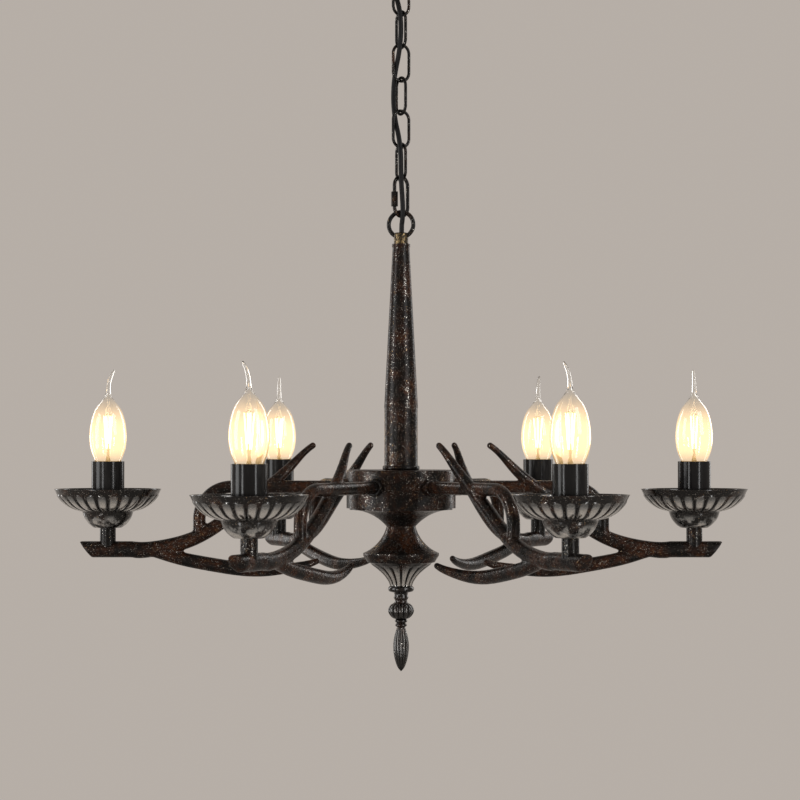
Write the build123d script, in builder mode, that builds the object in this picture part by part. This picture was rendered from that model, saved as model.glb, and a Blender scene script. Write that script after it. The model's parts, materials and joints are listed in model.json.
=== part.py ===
"""Six-lamp antler chandelier: canopy, chain, column, hub, arms, drip bowls and flame-tip bulbs.

Millimetres, +Z up. The origin is on the ceiling plane, on the chandelier's axis, and the chandelier
hangs below it. The viewer of the photograph stands on the -Y side.
"""

import os
from math import cos, radians, sin, tan

from build123d import *

os.makedirs("parts", exist_ok=True)

# Clearances
FIT = 0.05  # radial, between pieces that are screwed or slipped together
RUNNING = 0.08  # radial, between the sleeve nut and the wire that it runs on
HANG = 0.3  # between two links where one hangs in the other
SOCKET_GAP = 0.3  # between a bulb and its lampholder
EDGE_ROUND = 1.5  # on edges that the hand meets

# Threaded tube, used in the canopy and through the column
TUBE_DIA = 10.0
TUBE_BORE = 7.0
NUT_ACROSS = 17.0
NUT_HEIGHT = 3.5
NIPPLE_PROUD = 1.0

# Ceiling fitting
CANOPY_DIA = 112.0
CANOPY_HEIGHT = 33.0
CANOPY_WALL = 1.5
CANOPY_SKIRT = 7.0
CANOPY_FLAT_DIA = 30.0
SCREW_SPACING = 80.0
SCREW_HOLE_DIA = 5.0
BRACKET_END = 6.0  # from a screw hole to the bracket's end
BRACKET_LANDING = 11.0  # from a screw hole to the dropped middle
BRACKET_WIDTH = 18.0
BRACKET_THICK = 2.5
BRACKET_DROP = 18.0
TERMINAL_SIZE = (14.0, 16.0, 15.0)
TERMINAL_OFFSET = 20.0
EYE_WIRE = 4.0
EYE_INNER_DIA = 16.0
EYE_COLLAR_DIA = 18.0
EYE_COLLAR_HEIGHT = 10.0

# Chain: wide links face the viewer at an angle, narrow ones stand square to them
LINK_COUNT = 6
LINK_WIRE = 2.9
LINK_INNER_LENGTH = 31.7
LINK_WIDTH = 20.0
WIDE_LINK_TURN = 30.0
CONNECTOR_WIRE = 3.5
CONNECTOR_INNER_LENGTH = 34.0
CONNECTOR_WIDTH = 21.0
CONNECTOR_TURN = 45.0
CONNECTOR_GAP = 3.6
SLEEVE_NUT_DIA = 6.6
SLEEVE_NUT_LENGTH = 14.0

# Supply cord
CORD_DIA = 4.6
CORD_BORE = 5.4
CORD_SLACK = 3.2  # spare room where the cord passes a link's wire
CORD_BEND_SHARE = 0.45  # of the shorter run at a corner, used up by the bend

# Ring and collar
RING_DIA = 28.0
RING_WIRE = 4.0
RING_TURN = -15.0
COLLAR_DIA = 13.5
COLLAR_HEIGHT = 10.7
COLLAR_RISE = 6.3  # how far the collar stands up past the ring's lowest point
COLLAR_THREAD = 6.0

# Column
COLUMN_TOP_DIA = 16.0
COLUMN_LIP_DIA = 17.2
COLUMN_LIP_HEIGHT = 3.0
COLUMN_FOOT_DIA = 32.0
COLUMN_TAPER = 155.0
COLUMN_WALL = 1.6
SLEEVE_DIA = 31.4
SLEEVE_LENGTH = 54.6
BASE_RING_DIA = 35.0
BASE_RING_HEIGHT = 4.0

# Hub
DRUM_DIA = 103.0
DRUM_HEIGHT = 36.0
DRUM_WALL = 2.5
CONE_TOP_DIA = 97.0
CONE_HEIGHT = 17.4
CONE_EDGE = 1.5
CONE_BOW = 4.2  # depth of the hollow curve
WAIST_DIA = 27.4
FLARE_HEIGHT = 25.1
FLARE_DIA = 71.6
FLARE_BOW = 4.0
RIM_HEIGHT = 8.5
RIM_FOOT_DIA = 64.0
CUP_HEIGHT = 22.3
CUP_FOOT_DIA = 21.4
CUP_BOW = 1.6
SHELL = 3.0  # wall of the cone, the flare and the cup
TERMINAL_RING_DIA = 60.0
TERMINAL_RING_HEIGHT = 9.0

# Finial
BEAD_DIA = 24.6
BEAD_HEIGHT = 6.0
NECK_DIA = 14.0
NECK_HEIGHT = 10.4
BALL_DIA = 25.0
BALL_HEIGHT = 14.8
SPINDLE_RING_DIA = 11.8
SPINDLE_RING_HEIGHT = 8.0
SPINDLE_DIA = 15.2
SPINDLE_LENGTH = 41.6
SPINDLE_BELLY = 0.42  # how far down its length the spindle is thickest
STUD_DIA = 5.0
STUD_LENGTH = 5.0

# Arms: each runs out along its own radius, at its own angle, because the roots are tightened by
# hand. Rises are above the lamp bar's centre line
ARM_TURNS = (0.0, 58.9, 117.5, 180.0, 242.5, 301.1)
LAMP_RADIUS = 277.0
ROOT_DROP = 16.0  # from the drum's top to the centre of the arm roots
ROOT_RISE = 59.0  # from the lamp bar's centre line up to the root tube's
ROOT_DIA = 12.0
ROOT_SHOULDER_RADIUS = 30.0
ROOT_LANDING_RADIUS = 190.6  # from the axis to where the root tube lands on the beam
ROOT_LANDING_RISE = 11.0
ROOT_INSET = 7.5  # how far the root reaches inside the drum's outer face
WIRE_DIA = 3.2
WIRE_BORE = 4.2
WIRE_BEND = 7.0
ROOT_COLLAR_DIA = 16.5
ROOT_COLLAR_LENGTH = 6.0
BAR_DIA = 15.5
BAR_TOP_REACH = 304.0
BAR_FOOT_REACH = 292.0
BAR_INNER_REACH = 254.0
BEAM_ELBOW_REACH = 236.5
# distance out, sideways lean, rise, diameter
BEAM = (
    (BAR_INNER_REACH, 0.0, 0.0, BAR_DIA),
    (BEAM_ELBOW_REACH, 0.0, 0.0, 15.1),
    (215.7, 0.0, 3.8, 14.4),
    (196.8, 0.0, 9.8, 13.8),
    (179.3, 0.0, 18.9, 13.2),
    (150.0, -0.5, 40.5, 12.6),
    (120.6, -3.0, 63.5, 11.0),
    (103.5, -6.0, 79.4, 8.8),
    (83.7, -10.0, 98.0, 6.2),
)
LOWER_TINE = (
    (232.0, 0.0, -1.6, 12.6),
    (215.7, 0.0, -6.6, 12.8),
    (190.6, 0.0, -12.3, 13.2),
    (165.6, 0.0, -16.6, 13.4),
    (144.0, -0.8, -19.4, 12.9),
    (121.0, -3.0, -19.6, 11.2),
    (99.0, -6.4, -16.8, 8.8),
    (80.0, -10.0, -11.8, 6.0),
)

# Lamps: heights are above the lamp bar's centre line
STEM_DIA = 15.0
BOWL_FOOT = 20.5
BOWL_HEIGHT = 36.5
BOWL_RIM_DIA = 101.5
BOWL_STEP_DIA = 47.6
BOWL_STEP_DROP = 22.0  # from the rim to the step between dish and cup
BOWL_FOOT_DIA = 26.0
BOWL_STEP_LIP = 0.7
BOWL_DISH_BOW = 5.0
BOWL_CUP_BOW = 2.0
BOWL_FLOOR = 5.5
BOWL_FLOOR_DIA = 32.6
BOWL_WALL = 2.4
BOWL_LIP = 6.25  # plain band under the rim, in height
BOWL_LOBES = 26
GROOVE_WIDTH = 3.0
GROOVE_DEPTH = 1.2
CANDLE_DIA = 31.0
CANDLE_WALL = 1.2
CANDLE_RISE = 26.0  # from the bowl's rim to the candle sleeve's top
HOLDER_DIA = 25.0
HOLDER_DROP = 15.0  # from the candle sleeve's top down to the lampholder's
SPIGOT_DEPTH = 7.0
CAP_DIA = 13.4
CAP_HEIGHT = 22.0
CAP_CONTACT_DIA = 5.0
CAP_CONTACT_HEIGHT = 1.7
CAP_GROOVES = 4
CAP_PITCH = 2.82
POST_DIA = 3.0
POST_HEIGHT = 30.0
GLASS_WALL = 0.8
GLASS_SEAT = 13.0  # from the candle sleeve's top down to the glass's lower end
GLASS_MOUTH_DIA = 24.6
GLASS_DIA = 35.2
GLASS_WIDEST = 23.0
GLASS_SHOULDER = 0.78  # shares of the neck's height and of the diameter
GLASS_SHOULDER_DIA = 0.71
GLASS_NECK = 62.5
GLASS_NECK_DIA = 6.0
TIP_HEIGHT = 87.0
TIP_BEND = 5.5
TIP_DIA = 2.4
# which way each bulb's bent tip points, in degrees about its own axis
TIP_TURNS = (90.0, 280.0, 90.0, 0.0, 195.0, 165.0)

# Levels, worked out downwards from the ceiling
eye_radius = EYE_INNER_DIA / 2
eye_level = -(CANOPY_HEIGHT + EYE_COLLAR_HEIGHT + EYE_WIRE / 2 + eye_radius)
eye_seat = eye_level - eye_radius
link_pitch = LINK_INNER_LENGTH - HANG
chain_seat = eye_seat - LINK_COUNT * link_pitch
connector_top = chain_seat + HANG
connector_seat = connector_top - CONNECTOR_INNER_LENGTH
ring_radius = RING_DIA / 2 - RING_WIRE / 2
ring_level = connector_seat + HANG - (ring_radius - RING_WIRE / 2)
collar_top = ring_level - RING_DIA / 2 + COLLAR_RISE
column_top = collar_top - COLLAR_HEIGHT
taper_foot = column_top - COLUMN_TAPER
sleeve_foot = taper_foot - SLEEVE_LENGTH
drum_top = sleeve_foot - BASE_RING_HEIGHT
drum_foot = drum_top - DRUM_HEIGHT
waist_level = drum_foot - CONE_HEIGHT
flare_foot = waist_level - FLARE_HEIGHT
rim_foot = flare_foot - RIM_HEIGHT
cup_foot = rim_foot - CUP_HEIGHT
bead_foot = cup_foot - BEAD_HEIGHT
neck_foot = bead_foot - NECK_HEIGHT
ball_foot = neck_foot - BALL_HEIGHT
ring_pair_foot = ball_foot - SPINDLE_RING_HEIGHT
spindle_tip = ring_pair_foot - SPINDLE_LENGTH
root_level = drum_top - ROOT_DROP
bar_level = root_level - ROOT_RISE
bowl_foot = bar_level + BOWL_FOOT
bowl_rim = bowl_foot + BOWL_HEIGHT
bowl_step = bowl_rim - BOWL_STEP_DROP
bowl_floor = bowl_foot + BOWL_FLOOR
candle_top = bowl_rim + CANDLE_RISE
holder_top = candle_top - HOLDER_DROP
glass_foot = candle_top - GLASS_SEAT
cap_foot = glass_foot - CAP_HEIGHT
tube_top = column_top + COLLAR_THREAD
tube_foot = neck_foot - BALL_HEIGHT / 2
tube_hole = TUBE_DIA / 2 + FIT


def save(piece, name):
    """Label a finished piece and write it as its own file."""
    piece.part.label = name
    export_step(piece.part, f"parts/{name}.step")


def place(source, name, turn):
    """Write a copy of a piece, turned about the chandelier's axis."""
    with BuildPart() as placed:
        add(source.part, rotation=(0, 0, turn))
    save(placed, name)


def upright(turn, level):
    """A standing plane through the axis: its X runs at the given angle, its Y is up."""
    across = (cos(radians(turn)), sin(radians(turn)), 0)
    facing = (sin(radians(turn)), -cos(radians(turn)), 0)
    return Plane(origin=(0, 0, level), x_dir=across, z_dir=facing)


def oval(wire, inner_length, width, top, turn):
    """A closed oval of round wire, with the inside of its top bar at the given level."""
    bend = (width - wire) / 2
    half_leg = (inner_length + wire) / 2 - bend
    plane = upright(turn, top - inner_length / 2)
    with BuildPart() as link:
        with BuildLine(plane) as loop:
            Line((bend, -half_leg), (bend, half_leg))
            CenterArc((0, half_leg), bend, 0, 180)
            Line((-bend, half_leg), (-bend, -half_leg))
            CenterArc((0, -half_leg), bend, 180, 180)
        start = loop.wires()[0]
        with BuildSketch(Plane(origin=start @ 0, z_dir=start % 0)):
            Circle(wire / 2)
        sweep(path=start)
    return link


def hex_nut(height):
    """A hexagon nut for the threaded tube, its foot on the XY plane."""
    with BuildPart() as nut:
        with BuildSketch():
            RegularPolygon(NUT_ACROSS / 2, 6, major_radius=False)
            Circle(tube_hole, mode=Mode.SUBTRACT)
        extrude(amount=height)
    return nut


def limb(stations, level):
    """A tapering round limb through stations of distance, lean, rise and diameter, round at its far end."""
    points = [Vector(out, lean, level + rise) for out, lean, rise, _ in stations]
    with BuildPart() as shape:
        with BuildLine(mode=Mode.PRIVATE):
            course = Spline(*points, tangents=(points[1] - points[0], points[-1] - points[-2]))
        for point, station in zip(points, stations):
            along = course.tangent_at(course.param_at_point(point))
            section = Plane(origin=point, x_dir=(0, 1, 0), z_dir=along)
            with BuildSketch(section):
                Circle(station[3] / 2)
        loft()
        with Locations(section):
            Sphere(stations[-1][3] / 2)
    return shape


def bowed(start, end, depth):
    """An arc between two points of a turned profile, bowed towards the axis, or outwards if negative."""
    chord = Vector(*end) - Vector(*start)
    side = Vector(-chord.Y, chord.X) if chord.Y > 0 else Vector(chord.Y, -chord.X)
    middle = (Vector(*start) + Vector(*end)) / 2 + side.normalized() * depth
    return ThreePointArc(start, (middle.X, middle.Y), end)


# Ceiling bracket: a strap with two feet on the ceiling and a dropped middle
foot_start = SCREW_SPACING / 2 + BRACKET_END
seat_end = SCREW_SPACING / 2 - BRACKET_LANDING
slope_end = seat_end + BRACKET_THICK
with BuildPart() as ceiling_bracket:
    with BuildSketch(Plane.XZ.offset(-BRACKET_WIDTH / 2)):
        with BuildLine():
            Polyline(
                (-foot_start, 0),
                (-slope_end, 0),
                (-seat_end, -BRACKET_DROP),
                (seat_end, -BRACKET_DROP),
                (slope_end, 0),
                (foot_start, 0),
                (foot_start, -BRACKET_THICK),
                (slope_end + BRACKET_THICK, -BRACKET_THICK),
                (slope_end, -BRACKET_DROP - BRACKET_THICK),
                (-slope_end, -BRACKET_DROP - BRACKET_THICK),
                (-slope_end - BRACKET_THICK, -BRACKET_THICK),
                (-foot_start, -BRACKET_THICK),
                close=True,
            )
        make_face()
    extrude(amount=BRACKET_WIDTH)
    with Locations((-SCREW_SPACING / 2, 0, 0), (SCREW_SPACING / 2, 0, 0)):
        Hole(SCREW_HOLE_DIA / 2)
    with Locations((0, 0, -BRACKET_DROP)):
        Hole(tube_hole)
save(ceiling_bracket, "ceiling_bracket")

# Canopy: a round shell from the ceiling to a flat bottom, where the nipple passes
canopy_radius = CANOPY_DIA / 2
canopy_flat = CANOPY_FLAT_DIA / 2
canopy_floor = CANOPY_WALL - CANOPY_HEIGHT
with BuildPart() as canopy_cover:
    with BuildSketch(Plane.XZ):
        with BuildLine():
            outer_rim = Line((canopy_radius, 0), (canopy_radius, -CANOPY_SKIRT))
            TangentArc((canopy_flat, -CANOPY_HEIGHT), outer_rim @ 1, tangent=(1, 0))
            inner_rim = Line(
                (canopy_radius - CANOPY_WALL, 0), (canopy_radius - CANOPY_WALL, -CANOPY_SKIRT)
            )
            TangentArc((canopy_flat, canopy_floor), inner_rim @ 1, tangent=(1, 0))
            Polyline(
                (canopy_flat, -CANOPY_HEIGHT),
                (tube_hole, -CANOPY_HEIGHT),
                (tube_hole, canopy_floor),
                (canopy_flat, canopy_floor),
            )
            Line(outer_rim @ 0, inner_rim @ 0)
        make_face()
    revolve(axis=Axis.Z)
save(canopy_cover, "canopy_cover")

# Nipple through bracket, canopy and eye, with a nut above and below the bracket
nipple_top = -BRACKET_DROP + NUT_HEIGHT + NIPPLE_PROUD
nipple_foot = -CANOPY_HEIGHT - EYE_COLLAR_HEIGHT / 2
with BuildPart() as canopy_nipple:
    with BuildSketch(Plane.XY.offset(nipple_foot)):
        Circle(TUBE_DIA / 2)
        Circle(TUBE_BORE / 2, mode=Mode.SUBTRACT)
    extrude(amount=nipple_top - nipple_foot)
save(canopy_nipple, "canopy_nipple")

with BuildPart() as canopy_lock_nuts:
    with Locations((0, 0, -BRACKET_DROP), (0, 0, -BRACKET_DROP - BRACKET_THICK - NUT_HEIGHT)):
        add(hex_nut(NUT_HEIGHT).part)
save(canopy_lock_nuts, "canopy_lock_nuts")

with BuildPart() as terminal_block:
    with Locations((TERMINAL_OFFSET, 0, -BRACKET_DROP + TERMINAL_SIZE[2] / 2)):
        Box(*TERMINAL_SIZE)
    fillet(terminal_block.edges().filter_by(Axis.Z), radius=EDGE_ROUND)
save(terminal_block, "terminal_block")

# Canopy eye: a collar on the nipple with a round eye below, bored for the cord
with BuildPart() as canopy_loop:
    with Locations((0, 0, -CANOPY_HEIGHT - EYE_COLLAR_HEIGHT / 2)):
        Cylinder(EYE_COLLAR_DIA / 2, EYE_COLLAR_HEIGHT)
    fillet(canopy_loop.edges().group_by(Axis.Z)[0], radius=EDGE_ROUND)
    with Locations(upright(WIDE_LINK_TURN - 90, eye_level).location):
        Torus(eye_radius + EYE_WIRE / 2, EYE_WIRE / 2)
    with Locations((0, 0, -CANOPY_HEIGHT)):
        CounterBoreHole(
            CORD_BORE / 2,
            tube_hole,
            -CANOPY_HEIGHT - nipple_foot,
            depth=EYE_COLLAR_HEIGHT + EYE_WIRE,
        )
save(canopy_loop, "canopy_loop")

# Chain links, turned a quarter from one to the next
for index in range(LINK_COUNT):
    link_top = eye_seat + HANG - index * link_pitch
    link_turn = WIDE_LINK_TURN - 90 * (index % 2)
    save(
        oval(LINK_WIRE, LINK_INNER_LENGTH, LINK_WIDTH, link_top, link_turn),
        f"chain_link_{index + 1}",
    )

# Screw connector: an oval with a gap in its left leg, and the sleeve nut that closes it
connector_bend = (CONNECTOR_WIDTH - CONNECTOR_WIRE) / 2
connector_leg = CONNECTOR_INNER_LENGTH + CONNECTOR_WIRE - 2 * connector_bend
connector_middle = connector_top - CONNECTOR_INNER_LENGTH / 2
leg_foot = connector_middle - connector_leg / 2
connector_plane = upright(CONNECTOR_TURN, 0)
gap_foot = leg_foot + RUNNING
with BuildPart() as quick_link:
    add(
        oval(
            CONNECTOR_WIRE,
            CONNECTOR_INNER_LENGTH,
            CONNECTOR_WIDTH,
            connector_top,
            CONNECTOR_TURN,
        ).part
    )
    with BuildSketch(connector_plane):
        with Locations((-connector_bend, gap_foot + CONNECTOR_GAP / 2)):
            Rectangle(2 * CONNECTOR_WIRE, CONNECTOR_GAP)
    extrude(amount=CONNECTOR_WIRE, both=True, mode=Mode.SUBTRACT)
save(quick_link, "quick_link")

nut_centre = connector_plane.from_local_coords((-connector_bend, 0, 0))
with BuildPart() as quick_link_nut:
    with BuildSketch(Plane(origin=(nut_centre.X, nut_centre.Y, leg_foot))):
        RegularPolygon(SLEEVE_NUT_DIA / 2, 6, rotation=CONNECTOR_TURN)
        Circle(CONNECTOR_WIRE / 2 + RUNNING, mode=Mode.SUBTRACT)
    extrude(amount=SLEEVE_NUT_LENGTH)
save(quick_link_nut, "quick_link_nut")

# Ring and the collar that it is brazed to
with BuildPart() as ring_collar:
    with Locations((0, 0, collar_top - COLLAR_HEIGHT / 2)):
        Cylinder(COLLAR_DIA / 2, COLLAR_HEIGHT)
    fillet(ring_collar.edges().group_by(Axis.Z)[-1], radius=EDGE_ROUND)
    with Locations((0, 0, collar_top)):
        Hole(CORD_BORE / 2, COLLAR_HEIGHT)
    with Locations((0, 0, tube_top)):
        Hole(tube_hole, COLLAR_THREAD)
save(ring_collar, "ring_collar")

with BuildPart() as suspension_ring:
    with Locations(upright(RING_TURN, ring_level).location):
        Torus(ring_radius, RING_WIRE / 2)
    with Locations((0, 0, collar_top - COLLAR_HEIGHT / 2)):
        Cylinder(COLLAR_DIA / 2, COLLAR_HEIGHT, mode=Mode.SUBTRACT)
save(suspension_ring, "suspension_ring")

# Column: a tapered tube on a straight sleeve on a base ring, all slipped over the threaded tube
top_radius = COLUMN_TOP_DIA / 2
foot_radius = COLUMN_FOOT_DIA / 2
cavity_top = column_top - COLUMN_LIP_HEIGHT - COLUMN_WALL
with BuildPart() as tapered_column:
    with BuildSketch(Plane.XZ):
        with BuildLine():
            Polyline(
                (tube_hole, column_top),
                (COLUMN_LIP_DIA / 2, column_top),
                (COLUMN_LIP_DIA / 2, column_top - COLUMN_LIP_HEIGHT),
                (top_radius, column_top - COLUMN_LIP_HEIGHT),
                (foot_radius, taper_foot),
                (foot_radius - COLUMN_WALL, taper_foot),
                (top_radius - COLUMN_WALL, cavity_top),
                (tube_hole, cavity_top),
                close=True,
            )
        make_face()
    revolve(axis=Axis.Z)
save(tapered_column, "tapered_column")

with BuildPart() as column_sleeve:
    with BuildSketch(Plane.XY.offset(sleeve_foot)):
        Circle(SLEEVE_DIA / 2)
        Circle(SLEEVE_DIA / 2 - COLUMN_WALL, mode=Mode.SUBTRACT)
    extrude(amount=SLEEVE_LENGTH)
save(column_sleeve, "column_sleeve")

with BuildPart() as column_base_ring:
    with BuildSketch(Plane.XY.offset(drum_top)):
        Circle(BASE_RING_DIA / 2)
        Circle(tube_hole, mode=Mode.SUBTRACT)
    extrude(amount=BASE_RING_HEIGHT)
    fillet(column_base_ring.edges().filter_by(GeomType.CIRCLE).group_by(SortBy.RADIUS)[-1], radius=EDGE_ROUND)
save(column_base_ring, "column_base_ring")

with BuildPart() as threaded_tube:
    with BuildSketch(Plane.XY.offset(tube_foot)):
        Circle(TUBE_DIA / 2)
        Circle(TUBE_BORE / 2, mode=Mode.SUBTRACT)
    extrude(amount=tube_top - tube_foot)
save(threaded_tube, "threaded_tube")

# Hub drum: a cup turned over, with a hole in its wall for each arm root
drum_radius = DRUM_DIA / 2
with BuildPart() as hub_drum:
    with Locations((0, 0, drum_foot + DRUM_HEIGHT / 2)):
        Cylinder(drum_radius, DRUM_HEIGHT)
    fillet(hub_drum.edges().group_by(Axis.Z)[-1], radius=EDGE_ROUND)
    with Locations((0, 0, drum_foot + (DRUM_HEIGHT - DRUM_WALL) / 2)):
        Cylinder(drum_radius - DRUM_WALL, DRUM_HEIGHT - DRUM_WALL, mode=Mode.SUBTRACT)
    with Locations((0, 0, drum_top)):
        Hole(tube_hole, DRUM_WALL)
    for turn in ARM_TURNS:
        outward = (cos(radians(turn)), sin(radians(turn)), 0)
        with BuildSketch(Plane(origin=(0, 0, root_level), z_dir=outward)):
            Circle(ROOT_DIA / 2 + FIT)
        extrude(amount=drum_radius, mode=Mode.SUBTRACT)
save(hub_drum, "hub_drum")

# Cone, flare and cup: turned shells with hollow curves, threaded one under the other on the tube
cone_radius = CONE_TOP_DIA / 2
waist_radius = WAIST_DIA / 2
flare_radius = FLARE_DIA / 2
rim_radius = RIM_FOOT_DIA / 2
cup_radius = CUP_FOOT_DIA / 2
with BuildPart() as hub_cone:
    with BuildSketch(Plane.XZ):
        with BuildLine():
            Line((tube_hole, waist_level), (waist_radius, waist_level))
            bowed((waist_radius, waist_level), (cone_radius, drum_foot - CONE_EDGE), CONE_BOW)
            Polyline(
                (cone_radius, drum_foot - CONE_EDGE),
                (cone_radius, drum_foot),
                (cone_radius - 2 * SHELL, drum_foot),
            )
            bowed(
                (waist_radius - SHELL / 2, waist_level + 2 * SHELL),
                (cone_radius - 2 * SHELL, drum_foot),
                0.8 * CONE_BOW,
            )
            Polyline(
                (waist_radius - SHELL / 2, waist_level + 2 * SHELL),
                (tube_hole, waist_level + 2 * SHELL),
                (tube_hole, waist_level),
            )
        make_face()
    revolve(axis=Axis.Z)
save(hub_cone, "hub_cone")

with BuildPart() as hub_flare:
    with BuildSketch(Plane.XZ):
        with BuildLine():
            Line((tube_hole, waist_level), (waist_radius, waist_level))
            bowed((waist_radius, waist_level), (flare_radius, flare_foot), FLARE_BOW)
            Polyline(
                (flare_radius, flare_foot),
                (flare_radius, flare_foot - RIM_HEIGHT / 4),
                (rim_radius, rim_foot),
                (rim_radius - SHELL, rim_foot),
                (flare_radius - 2 * SHELL, flare_foot - RIM_HEIGHT / 4),
            )
            bowed(
                (waist_radius - SHELL, waist_level - 2 * SHELL),
                (flare_radius - 2 * SHELL, flare_foot - RIM_HEIGHT / 4),
                0.9 * FLARE_BOW,
            )
            Polyline(
                (waist_radius - SHELL, waist_level - 2 * SHELL),
                (tube_hole, waist_level - 2 * SHELL),
                (tube_hole, waist_level),
            )
        make_face()
    revolve(axis=Axis.Z)
save(hub_flare, "hub_flare")

with BuildPart() as fluted_cup:
    with BuildSketch(Plane.XZ):
        with BuildLine():
            Line((rim_radius - SHELL, rim_foot), (rim_radius, rim_foot))
            bowed((rim_radius, rim_foot), (cup_radius, cup_foot), CUP_BOW)
            Polyline(
                (cup_radius, cup_foot),
                (tube_hole, cup_foot),
                (tube_hole, cup_foot + 2 * SHELL),
                (cup_radius - SHELL / 2, cup_foot + 2 * SHELL),
            )
            bowed(
                (rim_radius - SHELL, rim_foot),
                (cup_radius - SHELL / 2, cup_foot + 2 * SHELL),
                CUP_BOW,
            )
        make_face()
    revolve(axis=Axis.Z)
save(fluted_cup, "fluted_cup")

# Finial: bead, neck and ball in one turned piece, and a pointed spindle screwed into it
neck_radius = NECK_DIA / 2
with BuildPart() as finial_knob:
    with BuildSketch(Plane.XZ):
        with BuildLine():
            Polyline(
                (neck_radius, bead_foot),
                (BEAD_DIA / 2 - BEAD_HEIGHT / 2, bead_foot),
            )
            CenterArc(
                (BEAD_DIA / 2 - BEAD_HEIGHT / 2, cup_foot - BEAD_HEIGHT / 2), BEAD_HEIGHT / 2, -90, 180
            )
            Polyline(
                (BEAD_DIA / 2 - BEAD_HEIGHT / 2, cup_foot),
                (tube_hole, cup_foot),
                (tube_hole, tube_foot),
                (STUD_DIA / 2 + FIT, tube_foot),
                (STUD_DIA / 2 + FIT, ball_foot),
                (SPINDLE_RING_DIA / 2, ball_foot),
            )
            ThreePointArc(
                (SPINDLE_RING_DIA / 2, ball_foot),
                (BALL_DIA / 2, neck_foot - BALL_HEIGHT / 2),
                (neck_radius, neck_foot),
            )
            Line((neck_radius, neck_foot), (neck_radius, bead_foot))
        make_face()
    revolve(axis=Axis.Z)
save(finial_knob, "finial_knob")

ring_bend = SPINDLE_RING_HEIGHT / 4
ring_core = SPINDLE_RING_DIA / 2 - ring_bend
with BuildPart() as finial_spindle:
    with BuildSketch(Plane.XZ):
        with BuildLine():
            Polyline(
                (0, spindle_tip),
                (0, ball_foot + STUD_LENGTH),
                (STUD_DIA / 2, ball_foot + STUD_LENGTH),
                (STUD_DIA / 2, ball_foot),
                (ring_core, ball_foot),
            )
            CenterArc((ring_core, ball_foot - ring_bend), ring_bend, 90, -180)
            CenterArc((ring_core, ball_foot - 3 * ring_bend), ring_bend, 90, -180)
            Spline(
                (ring_core, ring_pair_foot),
                (SPINDLE_DIA / 2, ring_pair_foot - SPINDLE_BELLY * SPINDLE_LENGTH),
                (0, spindle_tip),
                tangents=((1, -1), (-1, -2.4)),
            )
        make_face()
    revolve(axis=Axis.Z)
save(finial_spindle, "finial_spindle")

# Inside the drum: nuts that clamp the hub on the tube, and the ring of terminals
terminal_ring_foot = root_level - TERMINAL_RING_HEIGHT / 2
with BuildPart() as hub_lock_nuts:
    with Locations((0, 0, drum_top - DRUM_WALL - NUT_HEIGHT), (0, 0, terminal_ring_foot - NUT_HEIGHT)):
        add(hex_nut(NUT_HEIGHT).part)
save(hub_lock_nuts, "hub_lock_nuts")

with BuildPart() as terminal_ring:
    with BuildSketch(Plane.XY.offset(terminal_ring_foot)):
        Circle(TERMINAL_RING_DIA / 2)
        Circle(tube_hole, mode=Mode.SUBTRACT)
    extrude(amount=TERMINAL_RING_HEIGHT)
    fillet(terminal_ring.edges().filter_by(GeomType.CIRCLE).group_by(SortBy.RADIUS)[-1], radius=EDGE_ROUND)
save(terminal_ring, "terminal_ring")

# Antler arm: root tube, main beam with the upper tine, and lower tine, welded and bored for a wire
root_inner = drum_radius - ROOT_INSET
wire_corners = (
    (ROOT_LANDING_RADIUS, 0, root_level),
    (ROOT_LANDING_RADIUS, 0, bar_level + ROOT_LANDING_RISE),
    (BEAM_ELBOW_REACH, 0, bar_level),
    (LAMP_RADIUS, 0, bar_level),
)
wire_radii = (ROOT_SHOULDER_RADIUS, WIRE_BEND, 8 * WIRE_BEND, WIRE_BEND)


def conduit(start, end_level, dia):
    """A round run from the drum along the arm to the lamp, for the wire or for its bore."""
    points = ((start, 0, root_level),) + wire_corners + ((LAMP_RADIUS, 0, end_level),)
    with BuildPart() as run:
        with BuildLine():
            course = FilletPolyline(*points, radius=wire_radii)
        with BuildSketch(Plane(origin=course @ 0, z_dir=course % 0)):
            Circle(dia / 2)
        sweep(path=course)
    return run


bar_slant = Vector(BAR_TOP_REACH - BAR_FOOT_REACH, 0, BAR_DIA)
with BuildPart() as arm:
    with BuildSketch(Plane(origin=(BAR_INNER_REACH, 0, bar_level), z_dir=(1, 0, 0))):
        Circle(BAR_DIA / 2)
    extrude(amount=BAR_TOP_REACH + BAR_DIA - BAR_INNER_REACH)
    split(
        bisect_by=Plane(
            origin=((BAR_TOP_REACH + BAR_FOOT_REACH) / 2, 0, bar_level),
            z_dir=(bar_slant.Z, 0, -bar_slant.X),
        ),
        keep=Keep.BOTTOM,
    )
    add(limb(BEAM, bar_level).part)
    add(limb(LOWER_TINE, bar_level).part)
    with BuildLine():
        root_course = FilletPolyline(
            (root_inner, 0, root_level),
            (ROOT_LANDING_RADIUS, 0, root_level),
            (ROOT_LANDING_RADIUS, 0, bar_level + ROOT_LANDING_RISE),
            radius=ROOT_SHOULDER_RADIUS,
        )
    with BuildSketch(Plane(origin=root_course @ 0, z_dir=root_course % 0)):
        Circle(ROOT_DIA / 2)
    sweep(path=root_course)
    add(conduit(root_inner - 1, bar_level + BAR_DIA, WIRE_BORE).part, mode=Mode.SUBTRACT)

for index, turn in enumerate(ARM_TURNS):
    place(arm, f"antler_arm_{index + 1}", turn)


def ring_of(source, name):
    """Write one node that holds a copy of a piece for every arm."""
    with BuildPart() as group:
        for turn in ARM_TURNS:
            add(source.part, rotation=(0, 0, turn))
    save(group, name)


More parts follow.
